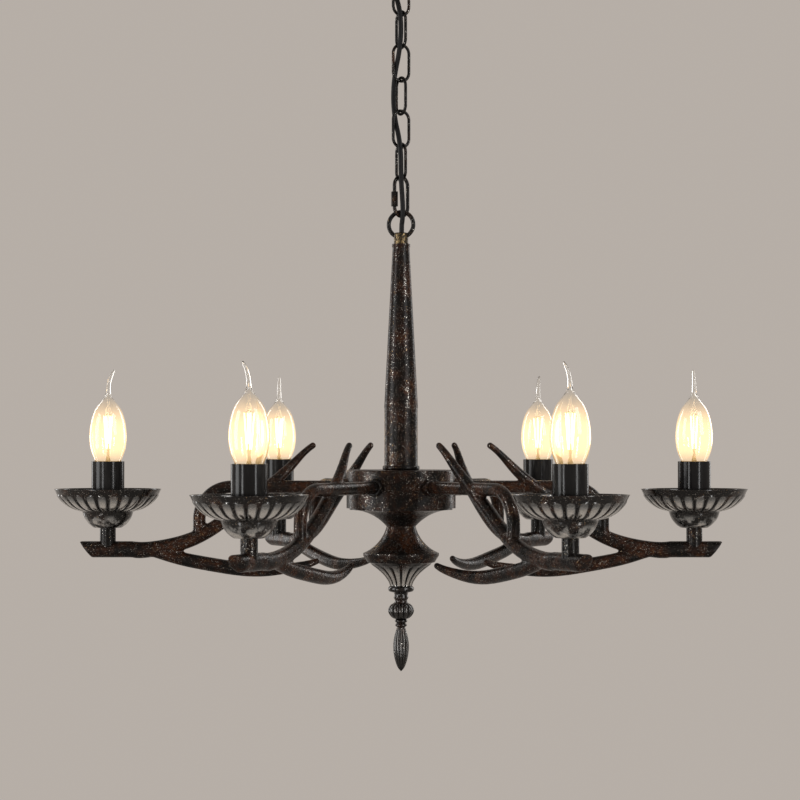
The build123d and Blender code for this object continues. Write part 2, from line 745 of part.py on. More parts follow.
# Round collars where the roots leave the drum, and lock nuts on the roots inside it
with BuildPart() as root_collar:
    with BuildSketch(Plane(origin=(0, 0, root_level), z_dir=(1, 0, 0))):
        Circle(ROOT_COLLAR_DIA / 2)
        Circle(ROOT_DIA / 2 + FIT, mode=Mode.SUBTRACT)
    extrude(amount=drum_radius + ROOT_COLLAR_LENGTH)
    fillet(
        root_collar.edges().filter_by(GeomType.CIRCLE).group_by(Axis.X)[-1].sort_by(SortBy.RADIUS)[-1],
        radius=EDGE_ROUND,
    )
    with Locations((0, 0, root_level)):
        Cylinder(drum_radius + FIT, 2 * ROOT_COLLAR_DIA, mode=Mode.SUBTRACT)
ring_of(root_collar, "arm_collars")

nut_face = ((drum_radius - DRUM_WALL) ** 2 - (NUT_ACROSS / 2 / cos(radians(30))) ** 2) ** 0.5 - FIT
with BuildPart() as root_nut:
    with BuildSketch(Plane(origin=(nut_face, 0, root_level), z_dir=(-1, 0, 0))):
        RegularPolygon(NUT_ACROSS / 2, 6, major_radius=False)
        Circle(ROOT_DIA / 2 + FIT, mode=Mode.SUBTRACT)
    extrude(amount=NUT_HEIGHT)
ring_of(root_nut, "arm_lock_nuts")

# Wire through each arm, from the ring of terminals to the lampholder
wire_end = bowl_floor + SPIGOT_DEPTH
ring_of(conduit(TERMINAL_RING_DIA / 2, wire_end, WIRE_DIA), "arm_wires")

# Stem between the lamp bar and the bowl, saddled on the bar and bored for the lampholder's spigot
spigot_foot = bowl_foot - SPIGOT_DEPTH
with BuildPart() as stem:
    with Locations((LAMP_RADIUS, 0, bar_level)):
        Cylinder(STEM_DIA / 2, BOWL_FOOT, align=(Align.CENTER, Align.CENTER, Align.MIN))
    with Locations(Location((LAMP_RADIUS, 0, bar_level), (0, 90, 0))):
        Cylinder(BAR_DIA / 2 + FIT, 2 * STEM_DIA, mode=Mode.SUBTRACT)
    with Locations((LAMP_RADIUS, 0, bowl_foot)):
        CounterBoreHole(WIRE_BORE / 2, tube_hole, SPIGOT_DEPTH, depth=BOWL_FOOT)
ring_of(stem, "lamp_stems")

# Drip bowl: a wide dish stepping down to a small cup with a flat floor. Round grooves part the dish
# into lobes, below a plain lip
bowl_radius = BOWL_RIM_DIA / 2
step_radius = BOWL_STEP_DIA / 2
floor_radius = BOWL_FLOOR_DIA / 2
dish_foot = (step_radius + BOWL_STEP_LIP, bowl_step + BOWL_STEP_LIP)
dish_inner_foot = (step_radius - BOWL_STEP_LIP, bowl_step + 1.2 * BOWL_WALL)
groove_radius = (GROOVE_WIDTH**2 / 4 + GROOVE_DEPTH**2) / (2 * GROOVE_DEPTH)
with BuildLine(Plane.XZ, mode=Mode.PRIVATE):
    dish_line = bowed(dish_foot, (bowl_radius, bowl_rim), -BOWL_DISH_BOW)
lip_share = 1 - BOWL_LIP / BOWL_STEP_DROP
groove_points = []
for share in (GROOVE_WIDTH / dish_line.length, lip_share / 2, lip_share):
    along = dish_line % share
    outward = Vector(along.Z, 0, -along.X)
    groove_points.append(dish_line @ share + outward * (groove_radius - GROOVE_DEPTH))
with BuildPart() as groove:
    with BuildLine():
        groove_line = ThreePointArc(*groove_points)
    with BuildSketch(Plane(origin=groove_line @ 0, z_dir=groove_line % 0)):
        Circle(groove_radius)
    sweep(path=groove_line)
    with Locations(groove_points[0], groove_points[-1]):
        Sphere(groove_radius)

with BuildPart() as bowl:
    with BuildSketch(Plane.XZ):
        with BuildLine():
            Line((tube_hole, bowl_foot), (BOWL_FOOT_DIA / 2, bowl_foot))
            bowed((BOWL_FOOT_DIA / 2, bowl_foot), (step_radius, bowl_step), -BOWL_CUP_BOW)
            Line((step_radius, bowl_step), dish_foot)
            bowed(dish_foot, (bowl_radius, bowl_rim), -BOWL_DISH_BOW)
            Line((bowl_radius, bowl_rim), (bowl_radius - BOWL_WALL, bowl_rim))
            bowed((bowl_radius - BOWL_WALL, bowl_rim), dish_inner_foot, -BOWL_DISH_BOW)
            Polyline(
                dish_inner_foot,
                (floor_radius, bowl_floor),
                (tube_hole, bowl_floor),
                (tube_hole, bowl_foot),
            )
        make_face()
    revolve(axis=Axis.Z)
    with PolarLocations(0, BOWL_LOBES):
        add(groove.part, mode=Mode.SUBTRACT)

# Lampholder: a socket with a spigot that clamps bowl and stem
with BuildPart() as holder:
    with BuildSketch(Plane.XZ):
        with BuildLine():
            Polyline(
                (WIRE_BORE / 2, spigot_foot),
                (TUBE_DIA / 2, spigot_foot),
                (TUBE_DIA / 2, bowl_floor),
                (HOLDER_DIA / 2, bowl_floor),
                (HOLDER_DIA / 2, holder_top),
                (CAP_DIA / 2 + SOCKET_GAP, holder_top),
                (CAP_DIA / 2 + SOCKET_GAP, cap_foot - CAP_CONTACT_HEIGHT - SOCKET_GAP),
                (0, cap_foot - CAP_CONTACT_HEIGHT - SOCKET_GAP),
                (0, wire_end),
                (WIRE_BORE / 2, wire_end),
                close=True,
            )
        make_face()
    revolve(axis=Axis.Z)

with BuildPart() as candle:
    with BuildSketch(Plane.XY.offset(bowl_floor)):
        Circle(CANDLE_DIA / 2)
        Circle(CANDLE_DIA / 2 - CANDLE_WALL, mode=Mode.SUBTRACT)
    extrude(amount=candle_top - bowl_floor)

# Bulb cap: a grooved screw shell with its centre contact and the post for the filament
with BuildPart() as cap:
    with BuildSketch(Plane.XY.offset(cap_foot)):
        Circle(CAP_DIA / 2)
    extrude(amount=CAP_HEIGHT)
    for thread in range(CAP_GROOVES):
        thread_level = cap_foot + CAP_PITCH * (thread + 1)
        with Locations((0, 0, thread_level)):
            Torus(CAP_DIA / 2 + CAP_PITCH / 8, CAP_PITCH / 3, mode=Mode.SUBTRACT)
    with Locations((0, 0, cap_foot)):
        Cylinder(CAP_CONTACT_DIA / 2, 2 * CAP_CONTACT_HEIGHT)
    with Locations((0, 0, glass_foot)):
        Cylinder(POST_DIA / 2, POST_HEIGHT, align=(Align.CENTER, Align.CENTER, Align.MIN))

# Bulb glass: a thin flame-shaped shell that draws out into a bent tip
cap_radius = CAP_DIA / 2


def flame(inset):
    """Half outline of the bulb from its foot to its neck, drawn in by the given wall."""
    return Spline(
        (cap_radius - inset, glass_foot),
        (GLASS_MOUTH_DIA / 2 - inset, candle_top),
        (GLASS_DIA / 2 - inset, candle_top + GLASS_WIDEST),
        (GLASS_SHOULDER_DIA * GLASS_DIA / 2 - inset, candle_top + GLASS_SHOULDER * GLASS_NECK),
        (GLASS_NECK_DIA / 2 - inset, candle_top + GLASS_NECK),
    )


tip_stations = (
    (0.0, GLASS_NECK, GLASS_NECK_DIA),
    (0.1 * TIP_BEND, GLASS_NECK + 0.25 * (TIP_HEIGHT - GLASS_NECK), 0.72 * GLASS_NECK_DIA),
    (0.22 * TIP_BEND, GLASS_NECK + 0.5 * (TIP_HEIGHT - GLASS_NECK), 0.6 * GLASS_NECK_DIA),
    (0.6 * TIP_BEND, GLASS_NECK + 0.76 * (TIP_HEIGHT - GLASS_NECK), 0.52 * GLASS_NECK_DIA),
    (TIP_BEND, TIP_HEIGHT - TIP_DIA / 2, TIP_DIA),
)
with BuildPart() as glass:
    with BuildSketch(Plane.XZ):
        with BuildLine():
            outer = flame(0)
            inner = flame(GLASS_WALL)
            Line(outer @ 0, inner @ 0)
            Line(outer @ 1, inner @ 1)
        make_face()
    revolve(axis=Axis.Z)
    for shift, height, dia in tip_stations:
        with BuildSketch(Plane.XY.offset(candle_top + height)):
            with Locations((shift, 0)):
                Circle(dia / 2)
    loft()
    with Locations((TIP_BEND, 0, candle_top + TIP_HEIGHT - TIP_DIA / 2)):
        Sphere(TIP_DIA / 2)


def lamp_axis(turn, spin=0.0):
    """The lamp axis of one arm, with its own X at the given angle."""
    across = LAMP_RADIUS * cos(radians(turn))
    along = LAMP_RADIUS * sin(radians(turn))
    return Location((across, along, 0), (0, 0, spin))


def at_lamp(source, name, turn, spin=0.0):
    """Write a copy of a lamp piece on the lamp axis of one arm, spun about that axis."""
    with BuildPart() as placed:
        with Locations(lamp_axis(turn, spin)):
            add(source.part)
    save(placed, name)


def lamp_group(source, name):
    """Write one node that holds a copy of a lamp piece on every lamp axis."""
    with BuildPart() as group:
        with Locations(*[lamp_axis(turn) for turn in ARM_TURNS]):
            add(source.part)
    save(group, name)


lamp_group(candle, "candle_sleeves")
lamp_group(holder, "lampholders")
for index, turn in enumerate(ARM_TURNS):
    at_lamp(bowl, f"drip_bowl_{index + 1}", turn, turn)
    at_lamp(cap, f"bulb_cap_{index + 1}", turn)
    at_lamp(glass, f"bulb_glass_{index + 1}", turn, TIP_TURNS[index])

# Supply cord: out of the terminal block, down the nipple, woven through the wide links, past the
# connector into the collar and down the threaded tube. Each point of the route gives shares of the
# offsets across the wide and the narrow links, and a level.
cord_wide = (LINK_WIDTH - LINK_WIRE) / 4
cord_narrow = (LINK_WIRE + CORD_DIA) / 2 + CORD_SLACK
cord_route = (
    (0.0, 0.0, eye_level + 4.0),
    (-1.08, -0.62, eye_level - 4.0),
    (-1.16, -1.0, eye_seat - 5.5),
    (-0.96, 1.0, eye_seat - link_pitch),
    (-1.0, 1.0, eye_seat - 2 * link_pitch),
    (-1.02, -1.0, eye_seat - 3 * link_pitch),
    (-1.0, -1.0, eye_seat - 4 * link_pitch),
    (-1.0, 1.0, eye_seat - 5 * link_pitch),
    (-1.05, 1.08, chain_seat),
    (-0.56, 1.11, connector_seat + 8.0),
    (-0.24, 0.68, connector_seat - 5.0),
    (0.0, 0.0, collar_top + 4.0),
)
across_wide = Vector(cos(radians(WIDE_LINK_TURN)), sin(radians(WIDE_LINK_TURN)), 0)
across_narrow = Vector(sin(radians(WIDE_LINK_TURN)), -cos(radians(WIDE_LINK_TURN)), 0)
cord_start = Vector(TERMINAL_OFFSET - TERMINAL_SIZE[0] / 2, 0, -BRACKET_DROP + 0.75 * TERMINAL_SIZE[2])
cord_points = [cord_start, Vector(0, 0, cord_start.Z)]
for wide, narrow, level in cord_route:
    sideways = across_wide * (wide * cord_wide) + across_narrow * (narrow * cord_narrow)
    cord_points.append(sideways + Vector(0, 0, level))
cord_points.append(Vector(0, 0, root_level))


def corner_radii(points):
    """The largest bend that the two runs at each corner of a route leave room for."""
    radii = []
    for before, corner, after in zip(points, points[1:], points[2:]):
        run_in = corner - before
        run_out = after - corner
        half_turn = radians(run_in.get_angle(run_out)) / 2
        radii.append(CORD_BEND_SHARE * min(run_in.length, run_out.length) / tan(half_turn))
    return radii


with BuildPart() as supply_cord:
    with BuildLine():
        cord_course = FilletPolyline(*cord_points, radius=corner_radii(cord_points))
    with BuildSketch(Plane(origin=cord_course @ 0, z_dir=cord_course % 0)):
        Circle(CORD_DIA / 2)
    sweep(path=cord_course)
save(supply_cord, "supply_cord")
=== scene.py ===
"""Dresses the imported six-lamp antler chandelier: metal, glass, cord and glowing bulbs, and a plain stage.

Everything is in metres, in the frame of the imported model: the origin on the ceiling plane, +Z up, the
viewer on the -Y side.
"""

import json
from math import atan2, cos, radians, sin, tau

import bmesh
import bpy
from bpy.props import FloatProperty, FloatVectorProperty, IntProperty, PointerProperty
from mathutils import Matrix, Vector


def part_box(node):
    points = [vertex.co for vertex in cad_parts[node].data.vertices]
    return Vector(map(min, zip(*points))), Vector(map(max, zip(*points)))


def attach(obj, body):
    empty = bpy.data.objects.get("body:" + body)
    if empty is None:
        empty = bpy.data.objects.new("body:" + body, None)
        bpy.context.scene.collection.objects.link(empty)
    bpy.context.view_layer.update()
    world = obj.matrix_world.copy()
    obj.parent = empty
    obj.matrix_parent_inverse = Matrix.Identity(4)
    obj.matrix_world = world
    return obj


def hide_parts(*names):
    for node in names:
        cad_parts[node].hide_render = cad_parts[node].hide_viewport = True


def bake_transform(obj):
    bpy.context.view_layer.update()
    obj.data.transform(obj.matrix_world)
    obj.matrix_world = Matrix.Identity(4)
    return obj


bl_info = {
    "name": "Antler Chandelier",
    "version": (1, 0, 0),
    "blender": (4, 5, 0),
    "location": "3D View > Sidebar > Chandelier",
    "description": "Finishes for a chain-hung chandelier with antler arms and fluted drip bowls",
    "category": "Add Mesh",
}

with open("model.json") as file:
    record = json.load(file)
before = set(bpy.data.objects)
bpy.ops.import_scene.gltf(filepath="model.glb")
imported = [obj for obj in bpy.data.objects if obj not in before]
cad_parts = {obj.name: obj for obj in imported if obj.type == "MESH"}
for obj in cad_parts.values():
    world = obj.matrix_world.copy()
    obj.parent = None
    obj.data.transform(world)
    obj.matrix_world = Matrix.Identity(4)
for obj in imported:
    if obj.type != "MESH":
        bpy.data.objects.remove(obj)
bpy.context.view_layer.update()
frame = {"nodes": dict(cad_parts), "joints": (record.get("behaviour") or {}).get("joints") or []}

MM = 0.001
LAMPS = range(1, 7)
CHAIN = [f"chain_link_{k}" for k in range(1, 7)]

# radius of the hole for a threaded tube, in millimetres
TUBE_HOLE = 5.05
# drops below the top of a fluted zone that keep its flutes out of a row, or cut them in full
UNCUT, FULL_CUT = -1.0, 1.0


def level(node, end):
    """The lowest (0) or highest (1) level of a node."""
    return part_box(node)[end].z


def half_width(node):
    """Half of a node's width."""
    low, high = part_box(node)
    return (high.x - low.x) / 2


def lamp_axis(lamp):
    """Where a lamp's own axis stands, on the level of the ceiling."""
    low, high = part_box(f"bulb_cap_{lamp}")
    return Vector(((low.x + high.x) / 2, (low.y + high.y) / 2, 0))


def lamp_turn(lamp):
    """The angle of a lamp's arm about the chandelier's axis."""
    axis = lamp_axis(lamp)
    return atan2(axis.y, axis.x)


BOWL_FOOT = level("drip_bowl_1", 0)
BOWL_RIM = level("drip_bowl_1", 1)
CANDLE_TOP = level("candle_sleeves", 1)
CUP_FOOT = level("fluted_cup", 0)
CUP_RIM = level("fluted_cup", 1)
SPINDLE_TIP = level("finial_spindle", 0)
BALL_FOOT = level("finial_knob", 0)


# Settings

RGBA = {"size": 4, "min": 0.0, "max": 1.0}


class FinishSettings(bpy.types.PropertyGroup):
    """Colours of the metal and the light."""

    ground: FloatVectorProperty(
        name="Ground", description="Dark lacquer under the rubbed finish", subtype="COLOR",
        default=(0.0048, 0.0040, 0.0035, 1.0), **RGBA,
    )
    warm: FloatVectorProperty(
        name="Warm", description="Brown that shows where the lacquer is thin", subtype="COLOR",
        default=(0.034, 0.0106, 0.0036, 1.0), **RGBA,
    )
    silver: FloatVectorProperty(
        name="Silver", description="Rubbed flecks in the lacquer", subtype="COLOR",
        default=(0.44, 0.42, 0.38, 1.0), **RGBA,
    )
    # bare brushed metal on the raised flutes, which also serves as their painted highlight
    brushed_and_highlight: FloatVectorProperty(
        name="Brushed", description="Bare metal on the raised flutes", subtype="COLOR",
        default=(0.90, 0.88, 0.83, 1.0), **RGBA,
    )
    gold: FloatVectorProperty(
        name="Gold", description="Flecks of old gold among the silver", subtype="COLOR",
        default=(0.34, 0.215, 0.095, 1.0), **RGBA,
    )
    bronze: FloatVectorProperty(
        name="Bronze", description="Collar under the suspension ring", subtype="COLOR",
        default=(0.20, 0.14, 0.065, 1.0), **RGBA,
    )
    glow: FloatVectorProperty(
        name="Glow", description="Light of the filaments", subtype="COLOR",
        default=(1.0, 0.62, 0.24, 1.0), **RGBA,
    )


class FluteSettings(bpy.types.PropertyGroup):
    """Counts and depths of the flutes."""

    dish_count: IntProperty(
        name="Dish flutes", description="Flutes round each drip bowl", default=26, min=6, max=60,
    )
    dish_depth: FloatProperty(
        name="Dish depth", description="Depth of a drip bowl's flutes", default=1.7 * MM,
        min=0.0, max=2.0 * MM, unit="LENGTH", precision=4,
    )
    cup_count: IntProperty(
        name="Cup flutes", description="Flutes round the cup under the hub", default=16, min=6, max=40,
    )
    cup_depth: FloatProperty(
        name="Cup depth", description="Depth of the cup's flutes", default=2.0 * MM,
        min=0.0, max=2.5 * MM, unit="LENGTH", precision=4,
    )
    finial_count: IntProperty(
        name="Finial flutes", description="Lobes of the ball and the spindle", default=14, min=6, max=40,
    )


class LampSettings(bpy.types.PropertyGroup):
    """Filaments and glass of the bulbs."""

    strands: IntProperty(
        name="Strands", description="Glowing strands in each bulb", default=4, min=1, max=8,
    )
    strand_glow: FloatProperty(
        name="Strand glow", description="Light of each glowing strand", default=5.0, min=0.0, max=60.0,
    )
    glass_wall: FloatProperty(
        name="Glass wall", description="Thickness of the bulb glass", default=0.8 * MM,
        min=0.3 * MM, max=1.5 * MM, unit="LENGTH", precision=4,
    )


class StageSettings(bpy.types.PropertyGroup):
    """Floor, backdrop and lights."""

    floor_drop: FloatProperty(
        name="Floor drop", description="From the spindle's tip down to the floor", default=0.34,
        min=0.05, max=3.0, unit="LENGTH",
    )
    backdrop: FloatVectorProperty(
        name="Backdrop", description="Plain colour behind the chandelier", subtype="COLOR",
        default=(0.47, 0.425, 0.385, 1.0), **RGBA,
    )
    key_power: FloatProperty(
        name="Key light", description="Power of the main soft light", default=34.0, min=0.0, max=400.0,
        unit="POWER",
    )


# Node helpers


class Value:
    """A node's output that can be reckoned with: each sign adds a Math node to its tree."""

    def __init__(self, socket):
        self.socket = socket
        self.tree = socket.id_data

    def __getitem__(self, name):
        """Another output of the same node."""
        return Value(self.socket.node.outputs[name])

    def __add__(self, other):
        return calc("ADD", self, other)

    def __sub__(self, other):
        return calc("SUBTRACT", self, other)

    def __rsub__(self, other):
        return calc("SUBTRACT", other, self)

    def __mul__(self, other):
        return calc("MULTIPLY", self, other)


def fill(node, inputs):
    """Link or set a node's inputs."""
    for key, value in inputs.items():
        if isinstance(value, Value):
            node.id_data.links.new(value.socket, node.inputs[key])
        else:
            node.inputs[key].default_value = value


def put(tree, kind, inputs=None, output=0, **options):
    """Add a node, set its options, fill its inputs, and give one of its outputs."""
    node = tree.nodes.new(kind)
    for name, value in options.items():
        setattr(node, name, value)
    fill(node, inputs or {})
    return Value(node.outputs[output])


def calc(operation, *values):
    """One step of arithmetic."""
    tree = next(value.tree for value in values if isinstance(value, Value))
    return put(tree, "ShaderNodeMath", dict(enumerate(values)), operation=operation)


def mix_colour(share, first, second):
    """Mix two colours by a share."""
    return put(share.tree, "ShaderNodeMix", {0: share, 6: first, 7: second}, 2, data_type="RGBA")


def span(value, low, high, to_low=0.0, to_high=1.0):
    """Bring a value smoothly from one range into another."""
    return put(
        value.tree, "ShaderNodeMapRange",
        {"Value": value, "From Min": low, "From Max": high, "To Min": to_low, "To Max": to_high},
        interpolation_type="SMOOTHSTEP",
    )


def noise(place, scale, detail, roughness=0.5):
    """Grey noise over a place."""
    return put(
        place.tree, "ShaderNodeTexNoise",
        {"Vector": place, "Scale": scale, "Detail": detail, "Roughness": roughness},
    )


def height_of(place):
    """The Z of a place."""
    return put(place.tree, "ShaderNodeSeparateXYZ", {0: place}, "Z")


def bump(height, strength, distance):
    """The normal of a surface raised by a height."""
    return put(height.tree, "ShaderNodeBump", {"Height": height, "Strength": strength, "Distance": distance})


def made_once(store, name):
    """Let a function make a data-block of this name once, and find it after that."""

    def wrap(make):
        return lambda: getattr(bpy.data, store).get(name) or make(name)

    return wrap


def new_group(name, inputs, outputs=(("Geometry", "Geometry"),), kind="GeometryNodeTree"):
    """An empty node group with named sockets; gives the tree, its inputs and its end."""
    tree = bpy.data.node_groups.new(name, kind)
    for socket_name, socket_kind, *default in inputs:
        socket = tree.interface.new_socket(
            socket_name, in_out="INPUT", socket_type=f"NodeSocket{socket_kind}",
        )
        if default:
            socket.default_value = default[0]
    for socket_name, socket_kind in outputs:
        tree.interface.new_socket(socket_name, in_out="OUTPUT", socket_type=f"NodeSocket{socket_kind}")
    return tree, put(tree, "NodeGroupInput"), tree.nodes.new("NodeGroupOutput")


# Shader groups and materials


@made_once("node_groups", "Rubbed lacquer")
def rub_group(name):
    """Dark lacquer rubbed back: warm patches, flecks of silver and gold, and a fine skin."""
    tree, given, outs = new_group(
        name,
        [
            ("Vector", "Vector"), ("Ground", "Color"), ("Warm", "Color"), ("Silver", "Color"),
            ("Gold", "Color"), ("Warm Cover", "Float", 0.5), ("Fleck Cover", "Float", 0.3),
            ("Fleck Fineness", "Float", 900.0),
        ],
        [("Color", "Color"), ("Roughness", "Float"), ("Metallic", "Float"), ("Height", "Float")],
        "ShaderNodeTree",
    )
    patches = noise(given["Vector"], scale=62.0, detail=5.0)
    flecks = noise(given["Vector"], given["Fleck Fineness"], detail=2.0, roughness=0.62)
    skin = noise(given["Vector"], scale=260.0, detail=5.0)
    thin = 0.78 - given["Warm Cover"] * 0.42
    warm = span(patches, thin - 0.22, thin + 0.18) * span(skin, 0.3, 0.62, 0.25, 1.0)
    edge = 0.76 - given["Fleck Cover"] * 0.34 + span(patches, 0.3, 0.7, 0.03, -0.03)
    fleck = span(flecks, edge, edge + 0.05)
    fleck_colour = mix_colour(span(skin, 0.52, 0.64), given["Silver"], given["Gold"])
    ground = mix_colour(warm, given["Ground"], given["Warm"])
    fill(outs, {
        "Color": mix_colour(fleck * 0.85, ground, fleck_colour),
        "Roughness": span(skin, 0.3, 0.7, 0.20, 0.38) - fleck * 0.08,
        "Metallic": span(fleck, 0.0, 1.0, 0.22, 0.9),
        "Height": skin + flecks * 0.6,
    })
    return tree


@made_once("node_groups", "Fine grain")
def grain_group(name):
    """Fine grain for moulded and drawn surfaces: a mask and a height."""
    tree, given, outs = new_group(
        name, [("Vector", "Vector"), ("Fineness", "Float", 400.0), ("Stretch", "Vector", (1.0, 1.0, 1.0))],
        [("Mask", "Float"), ("Height", "Float")], "ShaderNodeTree",
    )
    stretched = put(
        tree, "ShaderNodeVectorMath", {0: given["Vector"], 1: given["Stretch"]}, operation="MULTIPLY",
    )
    fine = noise(stretched, given["Fineness"], detail=3.0)
    broad = noise(stretched, scale=55.0, detail=2.0)
    fill(outs, {"Mask": span(fine, 0.4, 0.65) * span(broad, 0.35, 0.7), "Height": fine})
    return tree


def new_material(name):
    """A material with a Principled shader; gives the material, its shader and the place on a piece."""
    material = bpy.data.materials.new(name)
    material.use_nodes = True
    tree = material.node_tree
    return material, tree.nodes["Principled BSDF"], put(tree, "ShaderNodeTexCoord", output="Object")


def rubbed_metal(name, warm_cover, fleck_cover, fleck_fineness, painted_sheen=0.0, foot=None):
    """Antiqued metal in the chandelier's colours.

    The painted sheen lays silver over raised flutes, most at their lower ends: partly bare brushed metal and
    partly a painted highlight. A foot, the level of a piece's lower end, gets silver patches too, also partly
    painted highlight.
    """
    if name in bpy.data.materials:
        return bpy.data.materials[name]
    finish = bpy.context.scene.chandelier_finish
    material, shader, place = new_material(name)
    rub = put(
        place.tree, "ShaderNodeGroup",
        {
            "Vector": place, "Ground": finish.ground, "Warm": finish.warm, "Silver": finish.silver,
            "Gold": finish.gold, "Warm Cover": warm_cover, "Fleck Cover": fleck_cover,
            "Fleck Fineness": fleck_fineness,
        },
        node_tree=rub_group(),
    )
    colour, rough, metal = rub["Color"], rub["Roughness"], rub["Metallic"]
    if painted_sheen:
        raised, fall = (
            put(place.tree, "ShaderNodeAttribute", output="Fac", attribute_name=attribute)
            for attribute in ("ridge", "fall")
        )
        # painted highlight: silver share on the flute crests, strongest at their lower ends, partly bare
        # brushed metal
        share = span(raised, 0.66, 0.94) * span(fall, 0.1, 0.9, 0.12, 1.0)
        if foot is not None:
            # painted highlight: silver patches on the lower cup near the foot, partly rubbed silver
            low = span(height_of(place), foot + 3 * MM, foot + 13 * MM, 0.9, 0.0)
            patches = span(noise(place, scale=110.0, detail=4.0), 0.44, 0.62)
            share = calc("MAXIMUM", share, low * patches)
        share = share * span(noise(place, scale=1500.0, detail=2.0), 0.25, 0.6, 0.3, 1.0)
        # mix in the silver, which is partly brushed metal and partly painted highlight
        colour = mix_colour(share * painted_sheen, colour, finish.brushed_and_highlight)
        metal = calc("MAXIMUM", metal, span(share, 0.0, 0.6, 0.5, 1.0))
        rough = rough - span(share, 0.0, 1.0, 0.06, 0.12)
        fill(shader, {"Coat Weight": 0.5, "Coat Roughness": 0.1})
    fill(shader, {
        "Base Color": colour, "Roughness": rough, "Metallic": metal, "Specular IOR Level": 0.13,
        "Normal": bump(rub["Height"], strength=0.15 if painted_sheen else 0.18, distance=0.6 * MM),
    })
    return material


def antiqued_metal():
    return rubbed_metal("Antiqued brown black", warm_cover=0.46, fleck_cover=0.38, fleck_fineness=1050.0)


def arm_metal():
    return rubbed_metal("Antiqued arm", warm_cover=0.5, fleck_cover=0.36, fleck_fineness=1000.0)


# silver on the drip bowls' lobes and lower cups, partly brushed metal and partly painted highlight
def highlit_brushed_flutes():
    return rubbed_metal(
        "Brushed flutes", warm_cover=0.25, fleck_cover=0.38, fleck_fineness=950.0, painted_sheen=1.0, foot=BOWL_FOOT,
    )


# silver on the cup's flutes, partly brushed metal and partly painted highlight
def highlit_brushed_cup():
    return rubbed_metal("Brushed cup", warm_cover=0.2, fleck_cover=0.3, fleck_fineness=950.0, painted_sheen=0.72)


# a faint painted highlight on the finial's lobes
def dark_flutes():
    return rubbed_metal("Dark flutes", warm_cover=0.12, fleck_cover=0.2, fleck_fineness=900.0, painted_sheen=0.05)


def chain_metal():
    return rubbed_metal("Chain black", warm_cover=0.12, fleck_cover=0.34, fleck_fineness=1100.0)


def grained(name, colour, worn, roughness, metallic, fineness, depth, stretch=(1, 1, 1), coat=0.0, gloss=0.5):
    """A plain stuff with fine grain, which differs in colour and in roughness where it is worn."""
    if name in bpy.data.materials:
        return bpy.data.materials[name]
    material, shader, place = new_material(name)
    grain = put(
        place.tree, "ShaderNodeGroup", {"Vector": place, "Fineness": fineness, "Stretch": stretch},
        node_tree=grain_group(),
    )
    fill(shader, {
        "Base Color": mix_colour(grain["Mask"], (*colour, 1.0), (*worn, 1.0)),
        "Roughness": span(grain["Mask"], 0.0, 1.0, *roughness),
        "Metallic": metallic, "Specular IOR Level": gloss,
        "Normal": bump(grain["Height"], strength=0.25, distance=depth),
    })
    if coat:
        fill(shader, {"Coat Weight": coat, "Coat Roughness": 0.06})
    return material


def bronze_metal():
    return grained(
        "Dull bronze", colour=(0.012, 0.010, 0.008), worn=bpy.context.scene.chandelier_finish.bronze[:3],
        roughness=(0.45, 0.28), metallic=0.85, fineness=700.0, depth=0.15 * MM,
    )


def plated_steel():
    return grained(
        "Plated steel", colour=(0.52, 0.52, 0.50), worn=(0.40, 0.39, 0.36), roughness=(0.32, 0.46),
        metallic=0.95, fineness=500.0, depth=0.08 * MM, stretch=(1, 1, 0.15),
    )


def moulded_insulation():
    return grained(
        "Moulded insulation", colour=(0.60, 0.57, 0.50), worn=(0.52, 0.49, 0.43), roughness=(0.5, 0.6),
        metallic=0.0, fineness=600.0, depth=0.1 * MM,
    )


def cord_sheath():
    return grained(
        "Cord sheath", colour=(0.004, 0.0038, 0.0040), worn=(0.010, 0.009, 0.009), roughness=(0.5, 0.65),
        metallic=0.0, fineness=900.0, depth=0.2 * MM, gloss=0.12,
    )


def gloss_sleeve():
    return grained(
        "Gloss black sleeve", colour=(0.006, 0.0055, 0.0055), worn=(0.014, 0.013, 0.012),
        roughness=(0.16, 0.26), metallic=0.0, fineness=300.0, depth=0.03 * MM, stretch=(1, 1, 0.2),
        coat=0.06, gloss=0.16,
    )


def cap_metal():
    return grained(
        "Nickel cap", colour=(0.62, 0.58, 0.50), worn=(0.45, 0.42, 0.36), roughness=(0.28, 0.4),
        metallic=0.95, fineness=600.0, depth=0.06 * MM,
    )


def lit_band(place, start, full, fading, end):
    """A share that rises and fades again between heights above the candle sleeves, in millimetres."""
    start, full, fading, end = (CANDLE_TOP + height * MM for height in (start, full, fading, end))
    height = height_of(place)
    return span(height, start, full) * span(height, fading, end, 1.0, 0.0)


@made_once("materials", "Lamp glass")
def lamp_glass(name):
    """Clear glass that picks up a faint glow round the strands."""
    material, shader, place = new_material(name)
    lit = lit_band(place, -8, 16, 26, 62)
    glow = bpy.context.scene.chandelier_finish.glow
    fill(shader, {
        "Emission Color": mix_colour(lit, (0.0, 0.0, 0.0, 1.0), glow), "Emission Strength": 0.28,
        "Base Color": (1.0, 0.985, 0.95, 1.0), "Roughness": 0.0, "IOR": 1.45, "Transmission Weight": 1.0,
    })
    return material


@made_once("materials", "Glowing strand")
def strand_glow(name):
    """Glowing strand, whiter in its middle than at its ends."""
    scene = bpy.context.scene
    material, shader, place = new_material(name)
    middle = lit_band(place, 11, 20, 36, 44)
    fill(shader, {
        "Emission Color": mix_colour(middle, scene.chandelier_finish.glow, (1.0, 0.80, 0.50, 1.0)),
        "Emission Strength": scene.chandelier_lamp.strand_glow, "Base Color": (0.8, 0.5, 0.2, 1.0),
    })
    return material


# Mesh helpers


def add_object(name, data):
    """A new object at the origin."""
    obj = bpy.data.objects.new(name, data)
    bpy.context.scene.collection.objects.link(obj)
    return obj


def add_aimed(name, data, place, target):
    """A new light or camera that stands at a place and looks at a target."""
    obj = add_object(name, data)
    obj.location = place
    obj.rotation_euler = (Vector(target) - Vector(place)).to_track_quat("-Z", "Y").to_euler()
    return obj


